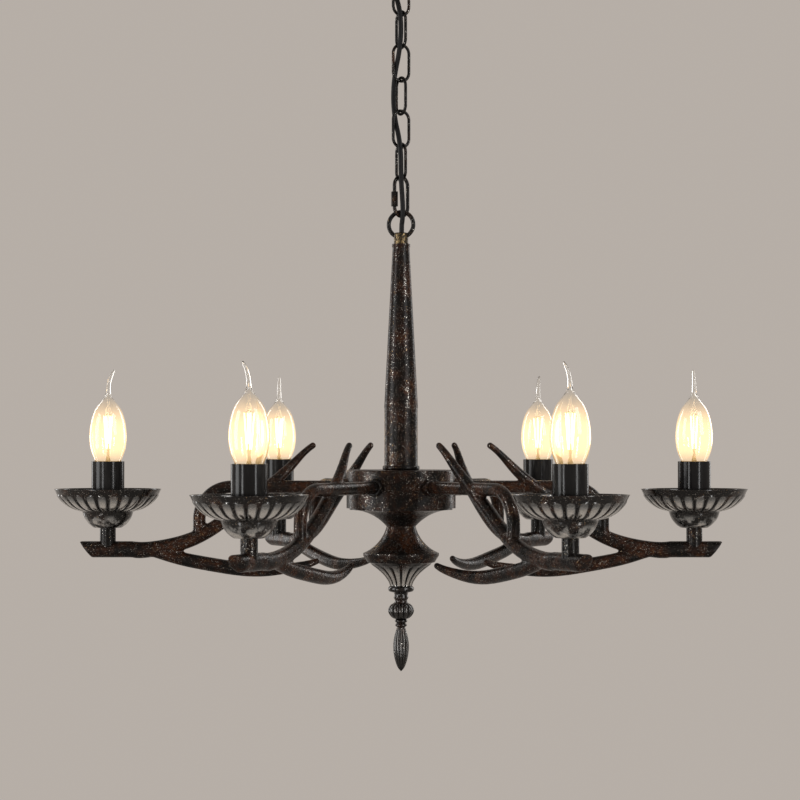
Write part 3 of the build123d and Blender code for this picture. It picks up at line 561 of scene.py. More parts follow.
def clean_mesh(mesh, sharp=50.0):
    """Merge what coincides, turn the faces outwards and shade them smooth up to a sharp edge."""
    work = bmesh.new()
    work.from_mesh(mesh)
    bmesh.ops.remove_doubles(work, verts=work.verts, dist=0.004 * MM)
    bmesh.ops.dissolve_degenerate(work, edges=work.edges, dist=0.002 * MM)
    bmesh.ops.recalc_face_normals(work, faces=work.faces)
    work.to_mesh(mesh)
    work.free()
    mesh.shade_smooth()
    mesh.set_sharp_from_angle(angle=radians(sharp))


def settle(obj, name, sharp=50.0):
    """Turn an object with live modifiers into a plain mesh piece of the given name."""
    depsgraph = bpy.context.evaluated_depsgraph_get()
    source = obj.evaluated_get(depsgraph)
    mesh = bpy.data.meshes.new_from_object(source, preserve_all_data_layers=True, depsgraph=depsgraph)
    bpy.data.objects.remove(obj)
    mesh.name = name
    for index in reversed(range(len(mesh.materials))):
        if mesh.materials[index] is None:
            mesh.materials.pop(index=index)
    clean_mesh(mesh, sharp)
    return add_object(name, mesh)


def claim(obj, body, slot, *nodes):
    """Ride on a body and stand for the named nodes. The slot is not used."""
    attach(obj, body)
    if nodes:
        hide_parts(*nodes)


def build(name, mesh, tree, values):
    """A plain mesh piece that geometry nodes make of a mesh, with values for the tree's named inputs."""
    obj = add_object(name, mesh)
    modifier = obj.modifiers.new(tree.name, "NODES")
    modifier.node_group = tree
    for item in tree.interface.items_tree:
        if item.item_type == "SOCKET" and item.in_out == "INPUT" and item.name in values:
            modifier[item.identifier] = values[item.name]
    return settle(obj, name)


@made_once("node_groups", "Crease shading")
def crease_tree(name):
    """Geometry nodes that join a node's loose triangles and shade them smooth up to sharp edges."""
    tree, given, outs = new_group(name, [("Geometry", "Geometry"), ("Crease", "Float", radians(32))])
    joined = put(
        tree, "GeometryNodeMergeByDistance", {"Geometry": given["Geometry"], "Distance": 0.002 * MM},
    )
    faces = put(tree, "GeometryNodeSetShadeSmooth", {0: joined, "Shade Smooth": True}, domain="FACE")
    angle = put(tree, "GeometryNodeInputMeshEdgeAngle", output="Unsigned Angle")
    soft = put(
        tree, "FunctionNodeCompare", {0: angle, 1: given["Crease"]}, data_type="FLOAT",
        operation="LESS_THAN",
    )
    fill(outs, {0: put(tree, "GeometryNodeSetShadeSmooth", {0: faces, "Shade Smooth": soft}, domain="EDGE")})
    return tree


def finish_nodes(material, *names):
    """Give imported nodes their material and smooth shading."""
    for name in names:
        obj = frame["nodes"][name]
        obj.data.materials.clear()
        obj.data.materials.append(material)
        obj.modifiers.new("Crease shading", "NODES").node_group = crease_tree()


def through(points, steps):
    """A smooth run through points of any size, with the given steps between each two."""
    run = []
    count = len(points)
    for index in range(count - 1):
        p0 = points[max(index - 1, 0)]
        p1 = points[index]
        p2 = points[index + 1]
        p3 = points[min(index + 2, count - 1)]
        for step in range(steps):
            t = step / steps
            run.append(tuple(
                0.5 * (2 * b + (c - a) * t + (2 * a - 5 * b + 4 * c - d) * t * t
                       + (3 * b - a - 3 * c + d) * t * t * t)
                for a, b, c, d in zip(p0, p1, p2, p3)
            ))
    run.append(tuple(points[-1]))
    return run


def end_tree(outs, geometry, material):
    """End a geometry tree in real geometry with its material."""
    real = put(geometry.tree, "GeometryNodeRealizeInstances", {0: geometry})
    fill(outs, {0: put(geometry.tree, "GeometryNodeSetMaterial", {"Geometry": real, "Material": material})})


@made_once("node_groups", "Fluted turning")
def fluting_tree(name):
    """Geometry nodes that turn a profile about an axis and cut it into round lobes.

    The profile is a chain of edges. Its attributes give each point's radius, level, outward direction,
    flute depth and drop below the top of the fluted zone.
    """
    tree, given, outs = new_group(name, [
        ("Profile", "Geometry"), ("Flutes", "Int", 26), ("Sides Per Flute", "Int", 10),
        ("Arch", "Float", 4 * MM), ("Soft", "Float", 1.6 * MM), ("Turn", "Float"), ("Centre", "Vector"),
        ("Material", "Material"),
    ])

    def stored(attribute):
        return put(tree, "GeometryNodeInputNamedAttribute", {"Name": attribute}, "Attribute")

    sides = given["Flutes"] * given["Sides Per Flute"]
    ring = put(tree, "GeometryNodeCurvePrimitiveCircle", {"Resolution": sides, "Radius": 1.0})
    profile = put(tree, "GeometryNodeMeshToCurve", {0: given["Profile"]})
    turned = put(tree, "GeometryNodeCurveToMesh", {"Curve": ring, "Profile Curve": profile})
    place = put(tree, "ShaderNodeSeparateXYZ", {0: put(tree, "GeometryNodeInputPosition")})
    angle = calc("ARCTAN2", place["Y"], place["X"])
    across = calc("FRACT", angle * calc("DIVIDE", given["Flutes"], tau)) * 2.0 - 1.0
    parting = 1.0 - calc("SQRT", calc("MAXIMUM", 1.0 - across * across, 0.0))
    start = parting * given["Arch"]
    gate = span(stored("drop"), start, start + given["Soft"])
    shape = calc("MAXIMUM", parting * gate, (1.0 - gate) * 0.35)
    cut = shape * stored("depth")
    radius = stored("turn_r") - cut * stored("out_r")
    point = put(
        tree, "ShaderNodeCombineXYZ",
        {
            "X": radius * calc("COSINE", angle), "Y": radius * calc("SINE", angle),
            "Z": stored("turn_z") - cut * stored("out_z"),
        },
    )
    # crest share and drop below the fluted zone's top, which the flute materials use to place their painted
    # highlight
    raised = (1.0 - shape) * (span(stored("depth"), 0.0, 0.4 * MM) * gate)
    for attribute, value in (("ridge", raised), ("fall", span(stored("drop"), 0.0, 13 * MM))):
        turned = put(
            tree, "GeometryNodeStoreNamedAttribute",
            {"Geometry": turned, "Name": attribute, "Value": value}, data_type="FLOAT", domain="POINT",
        )
    shaped = put(tree, "GeometryNodeSetPosition", {"Geometry": turned, "Position": point})
    spin = put(tree, "ShaderNodeCombineXYZ", {"Z": given["Turn"]})
    moved = put(
        tree, "GeometryNodeTransform",
        {"Geometry": shaped, "Translation": given["Centre"], "Rotation": spin},
    )
    end_tree(outs, moved, given["Material"])
    return tree


def plain(radius, height):
    """A row of a profile where no flute is cut."""
    return radius, height, 0.0, UNCUT, 1


def turning(
    name, node, profile, material, flutes, per_flute=10, closed=True, arch=4 * MM, soft=1.6 * MM, turn=0.0,
    centre=(0, 0, 0),
):
    """A fluted turned piece for a node, from rows of radius, level, flute depth, drop and wall side.

    The wall side is 1 where the profile runs upwards on the outside, and -1 where it runs downwards.
    """
    count = len(profile)
    edges = [(index, index + 1) for index in range(count - 1)]
    if closed:
        edges.append((count - 1, 0))
    mesh = bpy.data.meshes.new(name)
    mesh.from_pydata([(row[0], row[1], 0.0) for row in profile], edges, [])
    attributes = ("turn_r", "turn_z", "depth", "drop", "out_r", "out_z")
    rows = []
    for index, (radius, height, depth, drop, side) in enumerate(profile):
        before = profile[index - 1] if index or closed else profile[0]
        after = profile[(index + 1) % count] if closed else profile[min(index + 1, count - 1)]
        along = Vector((after[0] - before[0], after[1] - before[1]))
        along = along.normalized() if along.length else Vector((0.0, 1.0))
        rows.append((radius, height, depth, drop, side * along.y, -side * along.x))
    for attribute, values in zip(attributes, zip(*rows)):
        mesh.attributes.new(attribute, "FLOAT", "POINT").data.foreach_set("value", values)
    piece = build(name, mesh, fluting_tree(), {
        "Flutes": flutes, "Sides Per Flute": per_flute, "Arch": arch, "Soft": soft, "Turn": turn,
        "Centre": tuple(centre), "Material": material,
    })
    for attribute in attributes:
        if attribute in piece.data.attributes:
            piece.data.attributes.remove(piece.data.attributes[attribute])
    # the slot names the flutes' finish, whose silver is partly painted highlight
    claim(piece, "fixture", "brushed_black", node)


@made_once("node_groups", "Rods round an axis")
def spokes_tree(name):
    """Geometry nodes that repeat one thin round rod about an upright axis."""
    tree, given, outs = new_group(name, [
        ("Geometry", "Geometry"), ("Count", "Int", 4), ("Start", "Vector"),
        ("End", "Vector", (0.0, 0.0, 0.01)), ("Thickness", "Float", 0.5 * MM), ("Turn", "Float"),
        ("Centre", "Vector"), ("Material", "Material"),
    ])
    line = put(tree, "GeometryNodeCurvePrimitiveLine", {"Start": given["Start"], "End": given["End"]})
    wire = put(
        tree, "GeometryNodeCurvePrimitiveCircle", {"Resolution": 10, "Radius": given["Thickness"] * 0.5},
    )
    rod = put(tree, "GeometryNodeCurveToMesh", {"Curve": line, "Profile Curve": wire, "Fill Caps": True})
    points = put(tree, "GeometryNodePoints", {"Count": given["Count"]})
    spin = put(tree, "GeometryNodeInputIndex") * calc("DIVIDE", tau, given["Count"]) + given["Turn"]
    rotation = put(tree, "ShaderNodeCombineXYZ", {"Z": spin})
    repeated = put(
        tree, "GeometryNodeInstanceOnPoints", {"Points": points, "Instance": rod, "Rotation": rotation},
    )
    moved = put(tree, "GeometryNodeTransform", {"Geometry": repeated, "Translation": given["Centre"]})
    end_tree(outs, moved, given["Material"])
    return tree


def spokes(name, count, thickness, start, end, turn, centre, material):
    """Thin rods repeated round an axis; their thickness and their ends' radius and height in millimetres."""
    return build(name, bpy.data.meshes.new(name), spokes_tree(), {
        "Count": count, "Start": (start[0] * MM, 0.0, start[1] * MM), "End": (end[0] * MM, 0.0, end[1] * MM),
        "Thickness": thickness * MM, "Turn": turn, "Centre": tuple(centre), "Material": material,
    })


def rings_mesh(name, rings, sides, closed_start=True):
    """A tube of rings, each given by its centre and radius, closed by a point at its end or at both ends."""
    verts = []
    faces = []
    for centre, radius in rings:
        for side in range(sides):
            turn = tau * side / sides
            verts.append(centre + Vector((radius * cos(turn), radius * sin(turn), 0)))
    for ring in range(len(rings) - 1):
        for side in range(sides):
            after = (side + 1) % sides
            base = ring * sides
            faces.append((base + side, base + after, base + sides + after, base + sides + side))
    for closed, first in ((closed_start, 0), (True, (len(rings) - 1) * sides)):
        if closed:
            verts.append(rings[0 if first == 0 else -1][0])
            for side in range(sides):
                faces.append((first + side, first + (side + 1) % sides, len(verts) - 1))
    mesh = bpy.data.meshes.new(name)
    mesh.from_pydata(verts, [], faces)
    return mesh


# Pieces


class CHANDELIER_OT_ceiling_fitting(bpy.types.Operator):
    """Finish the canopy, its bracket, nipple, nuts, terminal block and eye"""

    bl_idname = "chandelier.ceiling_fitting"
    bl_label = "Ceiling fitting"

    def execute(self, context):
        finish_nodes(antiqued_metal(), "canopy_cover")
        finish_nodes(chain_metal(), "canopy_loop")
        finish_nodes(plated_steel(), "ceiling_bracket", "canopy_nipple", "canopy_lock_nuts")
        finish_nodes(moulded_insulation(), "terminal_block")
        return {"FINISHED"}


class CHANDELIER_OT_chain(bpy.types.Operator):
    """Finish the links, the screw connector, the ring and its collar"""

    bl_idname = "chandelier.chain"
    bl_label = "Chain and ring"

    def execute(self, context):
        finish_nodes(chain_metal(), *CHAIN, "quick_link", "quick_link_nut", "suspension_ring")
        finish_nodes(bronze_metal(), "ring_collar")
        return {"FINISHED"}


class CHANDELIER_OT_supply_cord(bpy.types.Operator):
    """Lay the supply cord through the chain, in one stretch for each joint that it crosses"""

    bl_idname = "chandelier.supply_cord"
    bl_label = "Supply cord"

    # from the terminal block to the canopy's middle, in millimetres
    lead = ((13.0, 0.0, -6.75), (0.0, 0.0, -6.75))
    # down the chain: across the wide links, across the narrow links and the level, in millimetres
    route = (
        (0.0, 0.0, -49.0), (-4.617, -4.309, -57.0), (-4.959, -6.95, -66.5), (-4.104, 6.95, -92.4),
        (-4.275, 6.95, -123.8), (-4.361, -6.95, -155.2), (-4.275, -6.95, -186.6), (-4.275, 6.95, -218.0),
        (-4.489, 7.506, -249.4), (-2.394, 7.715, -275.1), (-1.026, 4.726, -288.1), (0.0, 0.0, -296.5),
    )
    chain_turn = radians(30)
    cord_radius = 2.3 * MM
    bend_reach = 9 * MM
    below_all = -1.0

    def execute(self, context):
        material = cord_sheath()
        wide = Vector((cos(self.chain_turn), sin(self.chain_turn), 0))
        narrow = Vector((sin(self.chain_turn), -cos(self.chain_turn), 0))
        points = [Vector(point) * MM for point in self.lead]
        for across, beside, height in self.route:
            points.append((wide * across + narrow * beside + Vector((0, 0, height))) * MM)
        points.append(Vector((0, 0, level("supply_cord", 0))))
        curve = bpy.data.curves.new("cord_course", "CURVE")
        curve.dimensions = "3D"
        curve.resolution_u = 10
        curve.bevel_depth = self.cord_radius
        curve.bevel_resolution = 4
        curve.use_fill_caps = True
        spline = curve.splines.new("NURBS")
        spline.points.add(len(points) - 1)
        for point, place in zip(spline.points, points):
            point.co = (*place, 1.0)
        spline.order_u = 3
        spline.use_endpoint_u = True
        whole = settle(add_object("cord_course", curve), "cord_course")
        pivots = [joint["pos_m"][2] for joint in frame["joints"] if joint.get("deforming_nodes")]
        cuts = [0.0, *((a + b) / 2 for a, b in zip(pivots, pivots[1:])), self.below_all]
        for index, pivot in enumerate(pivots):
            mesh = whole.data.copy()
            work = bmesh.new()
            work.from_mesh(mesh)
            for height, up in ((cuts[index], 1), (cuts[index + 1], -1)):
                bmesh.ops.bisect_plane(
                    work, geom=work.verts[:] + work.edges[:] + work.faces[:], plane_co=(0, 0, height),
                    plane_no=(0, 0, up), clear_outer=True,
                )
            work.to_mesh(mesh)
            work.free()
            mesh.shade_smooth()
            mesh.materials.append(material)
            stretch = add_object(f"supply_cord_{index + 1}", mesh)
            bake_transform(stretch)
            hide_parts("supply_cord")
        bpy.data.objects.remove(whole)
        return {"FINISHED"}


class CHANDELIER_OT_column_and_hub(bpy.types.Operator):
    """Finish the column, the hub and what is inside them"""

    bl_idname = "chandelier.column_and_hub"
    bl_label = "Column and hub"

    def execute(self, context):
        finish_nodes(
            antiqued_metal(), "tapered_column", "column_sleeve", "column_base_ring", "hub_drum", "hub_cone",
            "hub_flare",
        )
        finish_nodes(plated_steel(), "threaded_tube", "hub_lock_nuts", "arm_lock_nuts")
        finish_nodes(moulded_insulation(), "terminal_ring")
        return {"FINISHED"}


class CHANDELIER_OT_finial(bpy.types.Operator):
    """Turn the fluted cup, the knob and the spindle under the hub"""

    bl_idname = "chandelier.finial"
    bl_label = "Cup and finial"

    # radius and drop below the rim, in millimetres, of the cup's side
    cup_side = ((24.6, 5.0), (17.3, 11.5), (12.6, 17.6))
    cup_foot = 10.7
    # the cup's inside: height of its floor, walls at the foot and the rim, and the bend between
    cup_floor = 6.0
    foot_wall = 1.5
    rim_wall = 3.0
    inner_bend = (20.0, 5.5)
    # drop where the cup's flutes start, and radius from which they have their full depth
    cup_lip = 1.2
    full_depth = 20.0
    # radius and drop below the cup's foot in millimetres, and share of the flutes' depth
    knob = (
        (TUBE_HOLE, 0.0, 0), (9.3, 0.0, 0), (11.4, 0.9, 0), (12.3, 3.0, 0), (11.4, 5.1, 0), (9.0, 6.0, 0),
        (7.0, 6.6, 0), (6.3, 8.2, 0), (6.6, 10.0, 0), (7.0, 11.2, 0), (6.4, 12.6, 0), (5.7, 14.0, 0),
        (6.2, 15.6, 0), (7.0, 16.4, 0.1), (10.0, 18.2, 0.7), (12.2, 21.6, 1.0), (12.3, 24.8, 1.0),
        (10.6, 28.0, 0.8), (8.0, 30.4, 0.4), (5.9, (CUP_FOOT - BALL_FOOT) / MM, 0.0),
    )
    knob_depth = 1.4
    # the holes in the knob: radius of the spindle's, and drop to the tube's end
    spindle_hole = 2.55
    tube_end = 23.0
    # radius and drop below the ball in millimetres, and share of the flutes' depth
    spindle = (
        (2.5, -5.0, 0), (2.5, 0.0, 0), (4.3, 0.0, 0), (5.8, 1.4, 0), (5.6, 2.9, 0), (4.2, 4.0, 0),
        (5.4, 5.2, 0), (5.5, 6.6, 0), (3.9, 8.0, 0.0), (4.6, 10.0, 0.35), (6.6, 17.0, 0.8), (7.6, 25.5, 1.0),
        (6.9, 34.0, 0.9), (5.2, 41.0, 0.6), (3.0, 46.2, 0.3), (0.0, (BALL_FOOT - SPINDLE_TIP) / MM, 0.0),
    )
    spindle_depth = 0.9

    def execute(self, context):
        flutes = context.scene.chandelier_flutes
        rim = half_width("fluted_cup")
        rows = [(rim, CUP_RIM, 0.0, 0.0, 1)]
        side = ((rim / MM, 0.0), *self.cup_side, (self.cup_foot, (CUP_RIM - CUP_FOOT) / MM))
        for radius, drop in through(side, steps=7)[1:]:
            depth = flutes.cup_depth * min(1.0, radius / self.full_depth)
            rows.append((radius * MM, CUP_RIM - drop * MM, depth, (drop - self.cup_lip) * MM, -1))
        inner_floor = CUP_FOOT + self.cup_floor * MM
        rows += [
            plain(TUBE_HOLE * MM, CUP_FOOT), plain(TUBE_HOLE * MM, inner_floor),
            plain((self.cup_foot - self.foot_wall) * MM, inner_floor),
            plain(self.inner_bend[0] * MM, CUP_RIM - self.inner_bend[1] * MM),
            plain(rim - self.rim_wall * MM, CUP_RIM),
        ]
        turning(
            "fluted_cup_brushed", "fluted_cup", rows, highlit_brushed_cup(), flutes.cup_count, per_flute=12,
            arch=3.5 * MM,
        )

        rows = self.lobed_rows(self.knob, CUP_FOOT, self.knob_depth)
        for radius, height in (
            (self.spindle_hole, BALL_FOOT), (self.spindle_hole, CUP_FOOT - self.tube_end * MM),
            (TUBE_HOLE, CUP_FOOT - self.tube_end * MM),
        ):
            rows.append((radius * MM, height, 0.0, FULL_CUT, -1))
        turning("finial_knob_lobed", "finial_knob", rows, dark_flutes(), flutes.finial_count)

        rows = self.lobed_rows(self.spindle, BALL_FOOT, self.spindle_depth)
        rows.insert(0, (0.0, rows[0][1], 0.0, FULL_CUT, -1))
        turning(
            "finial_spindle_lobed", "finial_spindle", rows, dark_flutes(), flutes.finial_count, closed=False,
        )
        return {"FINISHED"}

    def lobed_rows(self, profile, top, depth):
        """Rows for a smooth profile whose flutes run over its whole length."""
        return [
            (max(radius, 0.0) * MM, top - drop * MM, share * depth * MM, FULL_CUT, -1)
            for radius, drop, share in through(profile, steps=4)
        ]


class CHANDELIER_OT_antler_arms(bpy.types.Operator):
    """Grow the welded arms together into antlers, and finish their collars, stems and wires"""

    bl_idname = "chandelier.antler_arms"
    bl_label = "Antler arms"

    skin_step = 1.0 * MM
    flow_share = 0.5
    flow_passes = 7

    def execute(self, context):
        material = arm_metal()
        mesh = frame["nodes"]["antler_arm_1"].data.copy()
        clean_mesh(mesh)
        grown = add_object("antler", mesh)
        skin = grown.modifiers.new("Skin", "REMESH")
        skin.mode = "VOXEL"
        skin.voxel_size = self.skin_step
        flow = grown.modifiers.new("Flow", "SMOOTH")
        flow.factor = self.flow_share
        flow.iterations = self.flow_passes
        grown = settle(grown, "antler", sharp=180.0)
        grown.data.materials.clear()
        grown.data.materials.append(material)
        for lamp in LAMPS:
            arm = add_object(f"antler_arm_{lamp}_grown", grown.data.copy())
            arm.data.transform(Matrix.Rotation(lamp_turn(lamp), 4, "Z"))
            claim(arm, "fixture", "antiqued_brown_black", f"antler_arm_{lamp}")
        bpy.data.objects.remove(grown)
        finish_nodes(antiqued_metal(), "arm_collars")
        finish_nodes(chain_metal(), "lamp_stems")
        finish_nodes(cord_sheath(), "arm_wires")
        return {"FINISHED"}


class CHANDELIER_OT_drip_bowls(bpy.types.Operator):
    """Press the fluted drip bowls"""

    bl_idname = "chandelier.drip_bowls"
    bl_label = "Drip bowls"

    # radius and height above the foot, in millimetres
    cup = ((13.0, 0.0), (16.9, 2.7), (20.0, 6.1), (22.3, 10.0), (23.8, 14.5))
    dish = ((24.5, 15.2), (33.4, 17.6), (40.8, 22.0), (46.6, 28.3))
    inside = ((46.0, 30.4), (38.7, 23.0), (31.6, 19.2), (23.1, 17.4))
    hollow_floor = ((16.3, 5.5), (TUBE_HOLE, 5.5))
    # heights of the lip and of the lobes' ends, and the height in which the lobes reach their depth
    lip = 36.1
    lobe_top = 31.4
    lobe_foot = 15.4
    lobe_run_in = 1.6
    # the lip's wall, and how far inside the rim its upper edge starts and ends
    lip_wall = 2.0
    lip_edge = (0.4, 1.6)

    def execute(self, context):
        flutes = context.scene.chandelier_flutes
        rim = half_width("drip_bowl_1")
        edge = rim / MM
        rows = [plain(TUBE_HOLE * MM, BOWL_FOOT)]
        for radius, height in through(self.cup, steps=4):
            rows.append(plain(radius * MM, BOWL_FOOT + height * MM))
        for radius, height in through((*self.dish, (edge, self.lip)), steps=14):
            depth = flutes.dish_depth * min(1.0, max(0.0, (height - self.lobe_foot) / self.lobe_run_in))
            rows.append((radius * MM, BOWL_FOOT + height * MM, depth, (self.lobe_top - height) * MM, 1))
        rows += [plain(rim - inwards * MM, BOWL_RIM) for inwards in self.lip_edge]
        inner = through(((edge - self.lip_wall, self.lip), *self.inside), steps=4)
        for radius, height in (*inner, *self.hollow_floor):
            rows.append(plain(radius * MM, BOWL_FOOT + height * MM))
        for lamp in LAMPS:
            turning(
                f"drip_bowl_{lamp}_fluted", f"drip_bowl_{lamp}", rows, highlit_brushed_flutes(), flutes.dish_count,
                turn=lamp_turn(lamp), centre=lamp_axis(lamp),
            )
        return {"FINISHED"}


class CHANDELIER_OT_lampholders(bpy.types.Operator):
    """Finish the candle sleeves, the lampholders and the bulb caps"""

    bl_idname = "chandelier.lampholders"
    bl_label = "Candle sleeves and holders"

    def execute(self, context):
        finish_nodes(gloss_sleeve(), "candle_sleeves")
        finish_nodes(moulded_insulation(), "lampholders")
        finish_nodes(cap_metal(), *(f"bulb_cap_{lamp}" for lamp in LAMPS))
        return {"FINISHED"}


class CHANDELIER_OT_bulbs(bpy.types.Operator):
    """Blow the flame-tip bulbs and hang glowing strands in them"""

    bl_idname = "chandelier.bulbs"
    bl_label = "Bulbs"

    # radius, height above the candle sleeve, sideways bend, in millimetres
    flame = (
        (6.7, -12.9, 0.0), (9.6, -7.6, 0.0), (12.3, 0.0, 0.0), (16.2, 11.0, 0.0), (17.6, 23.0, 0.0),
        (16.2, 37.0, 0.0), (12.5, 48.75, 0.0), (6.9, 56.6, 0.0), (3.4, 61.8, 0.05), (2.35, 67.0, 0.35),
        (1.95, 73.6, 0.9), (1.75, 79.0, 2.3), (1.5, 83.2, 4.0), (1.1, 85.6, 5.2),
    )
    flame_end = (0.6, 86.6, 5.45)
    tip_turns = (90.0, 280.0, 90.0, 0.0, 195.0, 165.0)
    # the hollow follows so many of the flame's rows, and then these: radius and height
    hollow_rows = 8
    hollow_tip = ((3.6, 59.6), (1.6, 62.0), (0.5, 64.0))
    hollow_end = (0.1, 65.0)
    stem = ((4.8, -12.6), (3.6, -4.0), (1.9, 3.0), (1.2, 8.0), (0.8, 20.0), (0.8, 44.0), (1.2, 45.6))
    # thickness, and radius and height of both ends
    strand = (0.9, (2.0, 12.0), (4.4, 43.0))
    low_hook = (0.5, (0.6, 8.0), (2.0, 12.2))
    high_hook = (0.5, (0.6, 45.0), (4.4, 42.8))
    # turn of the strands from one lamp to the next, in degrees
    strand_turn = 40.0
    glass_sides = 40
    stem_sides = 20

    def execute(self, context):
        settings = context.scene.chandelier_lamp
        rods = (
            ("strands", self.strand, strand_glow(), "lamp_glass"),
            ("hooks_low", self.low_hook, cap_metal(), "cap_metal"),
            ("hooks_high", self.high_hook, cap_metal(), "cap_metal"),
        )
        wall = settings.glass_wall / MM
        hollow = [(radius - wall, height) for radius, height, _ in self.flame[:self.hollow_rows]]
        inner = [self.hollow_end, *reversed(through((*hollow, *self.hollow_tip), steps=5))]
        outer = [*through(self.flame, steps=5), self.flame_end]
        for lamp, turn in zip(LAMPS, self.tip_turns):
            body = f"bulb_{lamp}_glass"
            axis = lamp_axis(lamp) + Vector((0, 0, CANDLE_TOP))
            lean = Vector((cos(radians(turn)), sin(radians(turn)), 0))
            bulb = self.blow(f"bulb_glass_{lamp}_blown", (*inner, *outer), axis, lean, self.glass_sides)
            claim(bulb, body, "lamp_glass", f"bulb_glass_{lamp}")
            for part, shape, material, slot in rods:
                piece = spokes(
                    f"bulb_{part}_{lamp}", settings.strands, *shape, radians(self.strand_turn * lamp), axis,
                    material,
                )
                claim(piece, body, slot)
            rows = through(self.stem, steps=4)
            stem = self.blow(f"bulb_stem_{lamp}", rows, axis, lean, self.stem_sides)
            claim(stem, body, "lamp_glass")
        return {"FINISHED"}

    def blow(self, name, rows, axis, lean, sides):
        """A piece of glass round an axis, from rows of radius, height and sideways bend if there is any."""
        rings = [
            (axis + lean * (sum(bend) * MM) + Vector((0, 0, height * MM)), radius * MM)
            for radius, height, *bend in rows
        ]
        mesh = rings_mesh(name, rings, sides)
        clean_mesh(mesh, sharp=180.0)
        mesh.materials.append(lamp_glass())
        return add_object(name, mesh)


class CHANDELIER_OT_stage(bpy.types.Operator):
    """Set the plain floor, the soft lights and the camera"""

    bl_idname = "chandelier.stage"
    bl_label = "Stage"

    # name, place, width and height, share of the key light's power, whether it shows through glass
    lights = (
        ("key", (1.65, -1.5, 0.4), (1.0, 1.6), 0.95, False),
        ("left_strip", (-1.85, -0.65, -0.3), (0.8, 1.7), 0.8, False),
        ("left_rim", (-1.5, 1.3, -0.2), (0.4, 1.6), 0.2, True),
        ("right_rim", (1.4, 1.4, 0.1), (0.4, 1.6), 0.2, True),
        ("low_left", (-0.95, -1.25, -0.98), (0.22, 1.0), 0.28, False),
        ("low_right", (0.95, -1.25, -0.98), (0.22, 1.0), 0.28, False),
    )
    lights_aim = (0, 0, -0.5)
    even_colour = (0.80, 0.80, 0.82, 1.0)
    even_strength = 0.28
    lens = 107.1
    sensor_width = 36.0
    camera_place = (0, -2.25, -0.4967)
    camera_aim = (-0.001, 0, -0.4588)
    floor_radii = (3.2, 2.0, 1.0, 0.4)
    floor_fade = (0.5, 1.5)

    def execute(self, context):
        scene = context.scene
        stage = scene.chandelier_stage
        scene.view_settings.view_transform = "Standard"
        self.floor(SPINDLE_TIP - stage.floor_drop, stage.backdrop)
        self.world(scene, stage.backdrop)
        for name, place, size, share, in_glass in self.lights:
            light = bpy.data.lights.new(name, "AREA")
            light.shape = "RECTANGLE"
            light.size, light.size_y = size
            light.energy = stage.key_power * share
            add_aimed(name, light, place, self.lights_aim).visible_transmission = in_glass
        camera = bpy.data.cameras.new("photo_camera")
        camera.lens = self.lens
        camera.sensor_width = self.sensor_width
        camera.clip_end = 30.0
        scene.camera = add_aimed("photo_camera", camera, self.camera_place, self.camera_aim)
        return {"FINISHED"}

    def floor(self, height, colour):
        """A pale round floor that fades into the backdrop and doesn't show from below."""
        rings = [(Vector((0, 0, height)), radius) for radius in self.floor_radii]
        mesh = rings_mesh("floor", rings, sides=64, closed_start=False)
        obj = add_object("floor", mesh)
        material, shader, place = new_material("Pale floor")
        fill(shader, {"Base Color": colour, "Roughness": 0.9, "Specular IOR Level": 0.1})
        tree = place.tree
        spot = put(tree, "ShaderNodeSeparateXYZ", {0: place})
        reach = calc("SQRT", spot["X"] * spot["X"] + spot["Y"] * spot["Y"])
        below = put(tree, "ShaderNodeNewGeometry", output="Backfacing")
        gone = calc("MAXIMUM", span(reach, *self.floor_fade), below)
        clear = put(tree, "ShaderNodeBsdfTransparent")
        fade = put(tree, "ShaderNodeMixShader", {0: gone, 1: Value(shader.outputs[0]), 2: clear})
        fill(tree.nodes["Material Output"], {"Surface": fade})
        mesh.materials.append(material)

    def world(self, scene, colour):
        """A plain backdrop, and an even light a little dimmer than it."""
        world = bpy.data.worlds.new("Plain backdrop")
        world.use_nodes = True
        scene.world = world
        tree = world.node_tree
        even = tree.nodes["Background"]
        fill(even, {"Color": self.even_colour, "Strength": self.even_strength})
        backdrop = put(tree, "ShaderNodeBackground", {"Color": colour, "Strength": 1.0})
        path = put(tree, "ShaderNodeLightPath")
        seen = calc("MAXIMUM", path["Is Camera Ray"], path["Is Transmission Ray"])
        seen = calc("MAXIMUM", seen, path["Is Glossy Ray"])
        mixed = put(tree, "ShaderNodeMixShader", {0: seen, 1: Value(even.outputs[0]), 2: backdrop})
        fill(tree.nodes["World Output"], {"Surface": mixed})


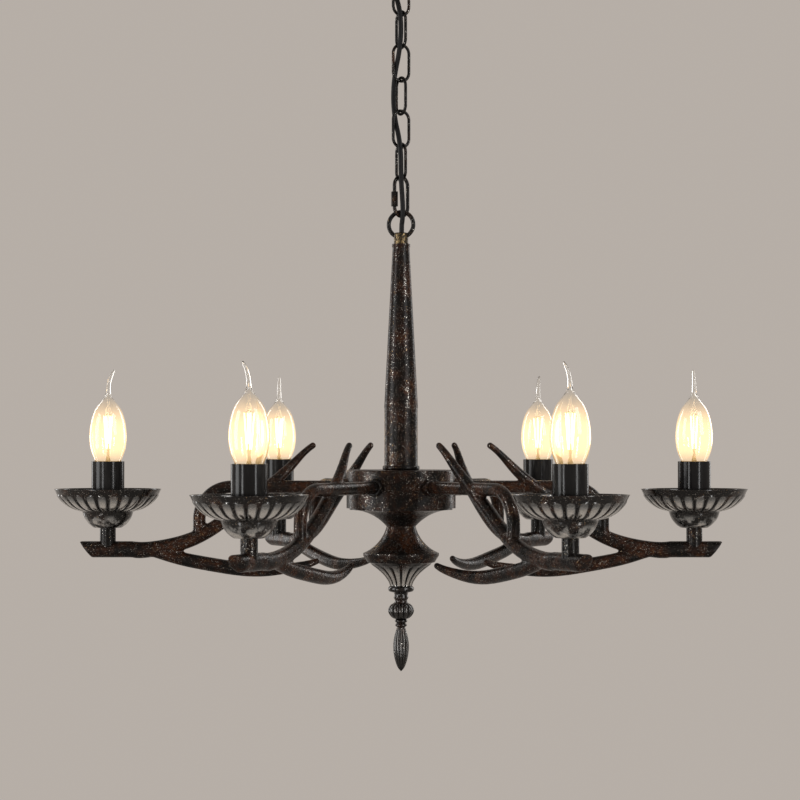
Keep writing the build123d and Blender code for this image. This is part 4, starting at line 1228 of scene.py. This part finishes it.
PIECES = (
    CHANDELIER_OT_ceiling_fitting,
    CHANDELIER_OT_chain,
    CHANDELIER_OT_supply_cord,
    CHANDELIER_OT_column_and_hub,
    CHANDELIER_OT_finial,
    CHANDELIER_OT_antler_arms,
    CHANDELIER_OT_drip_bowls,
    CHANDELIER_OT_lampholders,
    CHANDELIER_OT_bulbs,
    CHANDELIER_OT_stage,
)


class CHANDELIER_PT_panel(bpy.types.Panel):
    """The chandelier's pieces and settings"""

    bl_label = "Chandelier"
    bl_idname = "CHANDELIER_PT_panel"
    bl_space_type = "VIEW_3D"
    bl_region_type = "UI"
    bl_category = "Chandelier"

    def draw(self, context):
        for settings in SETTINGS:
            group = getattr(context.scene, settings)
            for name in group.bl_rna.properties.keys():
                if name not in {"rna_type", "name"}:
                    self.layout.prop(group, name)
        for piece in PIECES:
            self.layout.operator(piece.bl_idname)


SETTINGS = {
    "chandelier_finish": FinishSettings,
    "chandelier_flutes": FluteSettings,
    "chandelier_lamp": LampSettings,
    "chandelier_stage": StageSettings,
}


def register():
    """Register the settings, the operators and the panel."""
    for name, settings in SETTINGS.items():
        bpy.utils.register_class(settings)
        setattr(bpy.types.Scene, name, PointerProperty(type=settings))
    for piece in (*PIECES, CHANDELIER_PT_panel):
        bpy.utils.register_class(piece)


def unregister():
    """Take the panel, the operators and the settings out again."""
    for piece in (CHANDELIER_PT_panel, *reversed(PIECES)):
        bpy.utils.unregister_class(piece)
    for name, settings in SETTINGS.items():
        delattr(bpy.types.Scene, name)
        bpy.utils.unregister_class(settings)


def main():
    """Make every piece in order."""
    register()
    bpy.ops.chandelier.ceiling_fitting()
    bpy.ops.chandelier.chain()
    bpy.ops.chandelier.supply_cord()
    bpy.ops.chandelier.column_and_hub()
    bpy.ops.chandelier.finial()
    bpy.ops.chandelier.antler_arms()
    bpy.ops.chandelier.drip_bowls()
    bpy.ops.chandelier.lampholders()
    bpy.ops.chandelier.bulbs()
    bpy.ops.chandelier.stage()


if __name__ == "__main__":
    main()
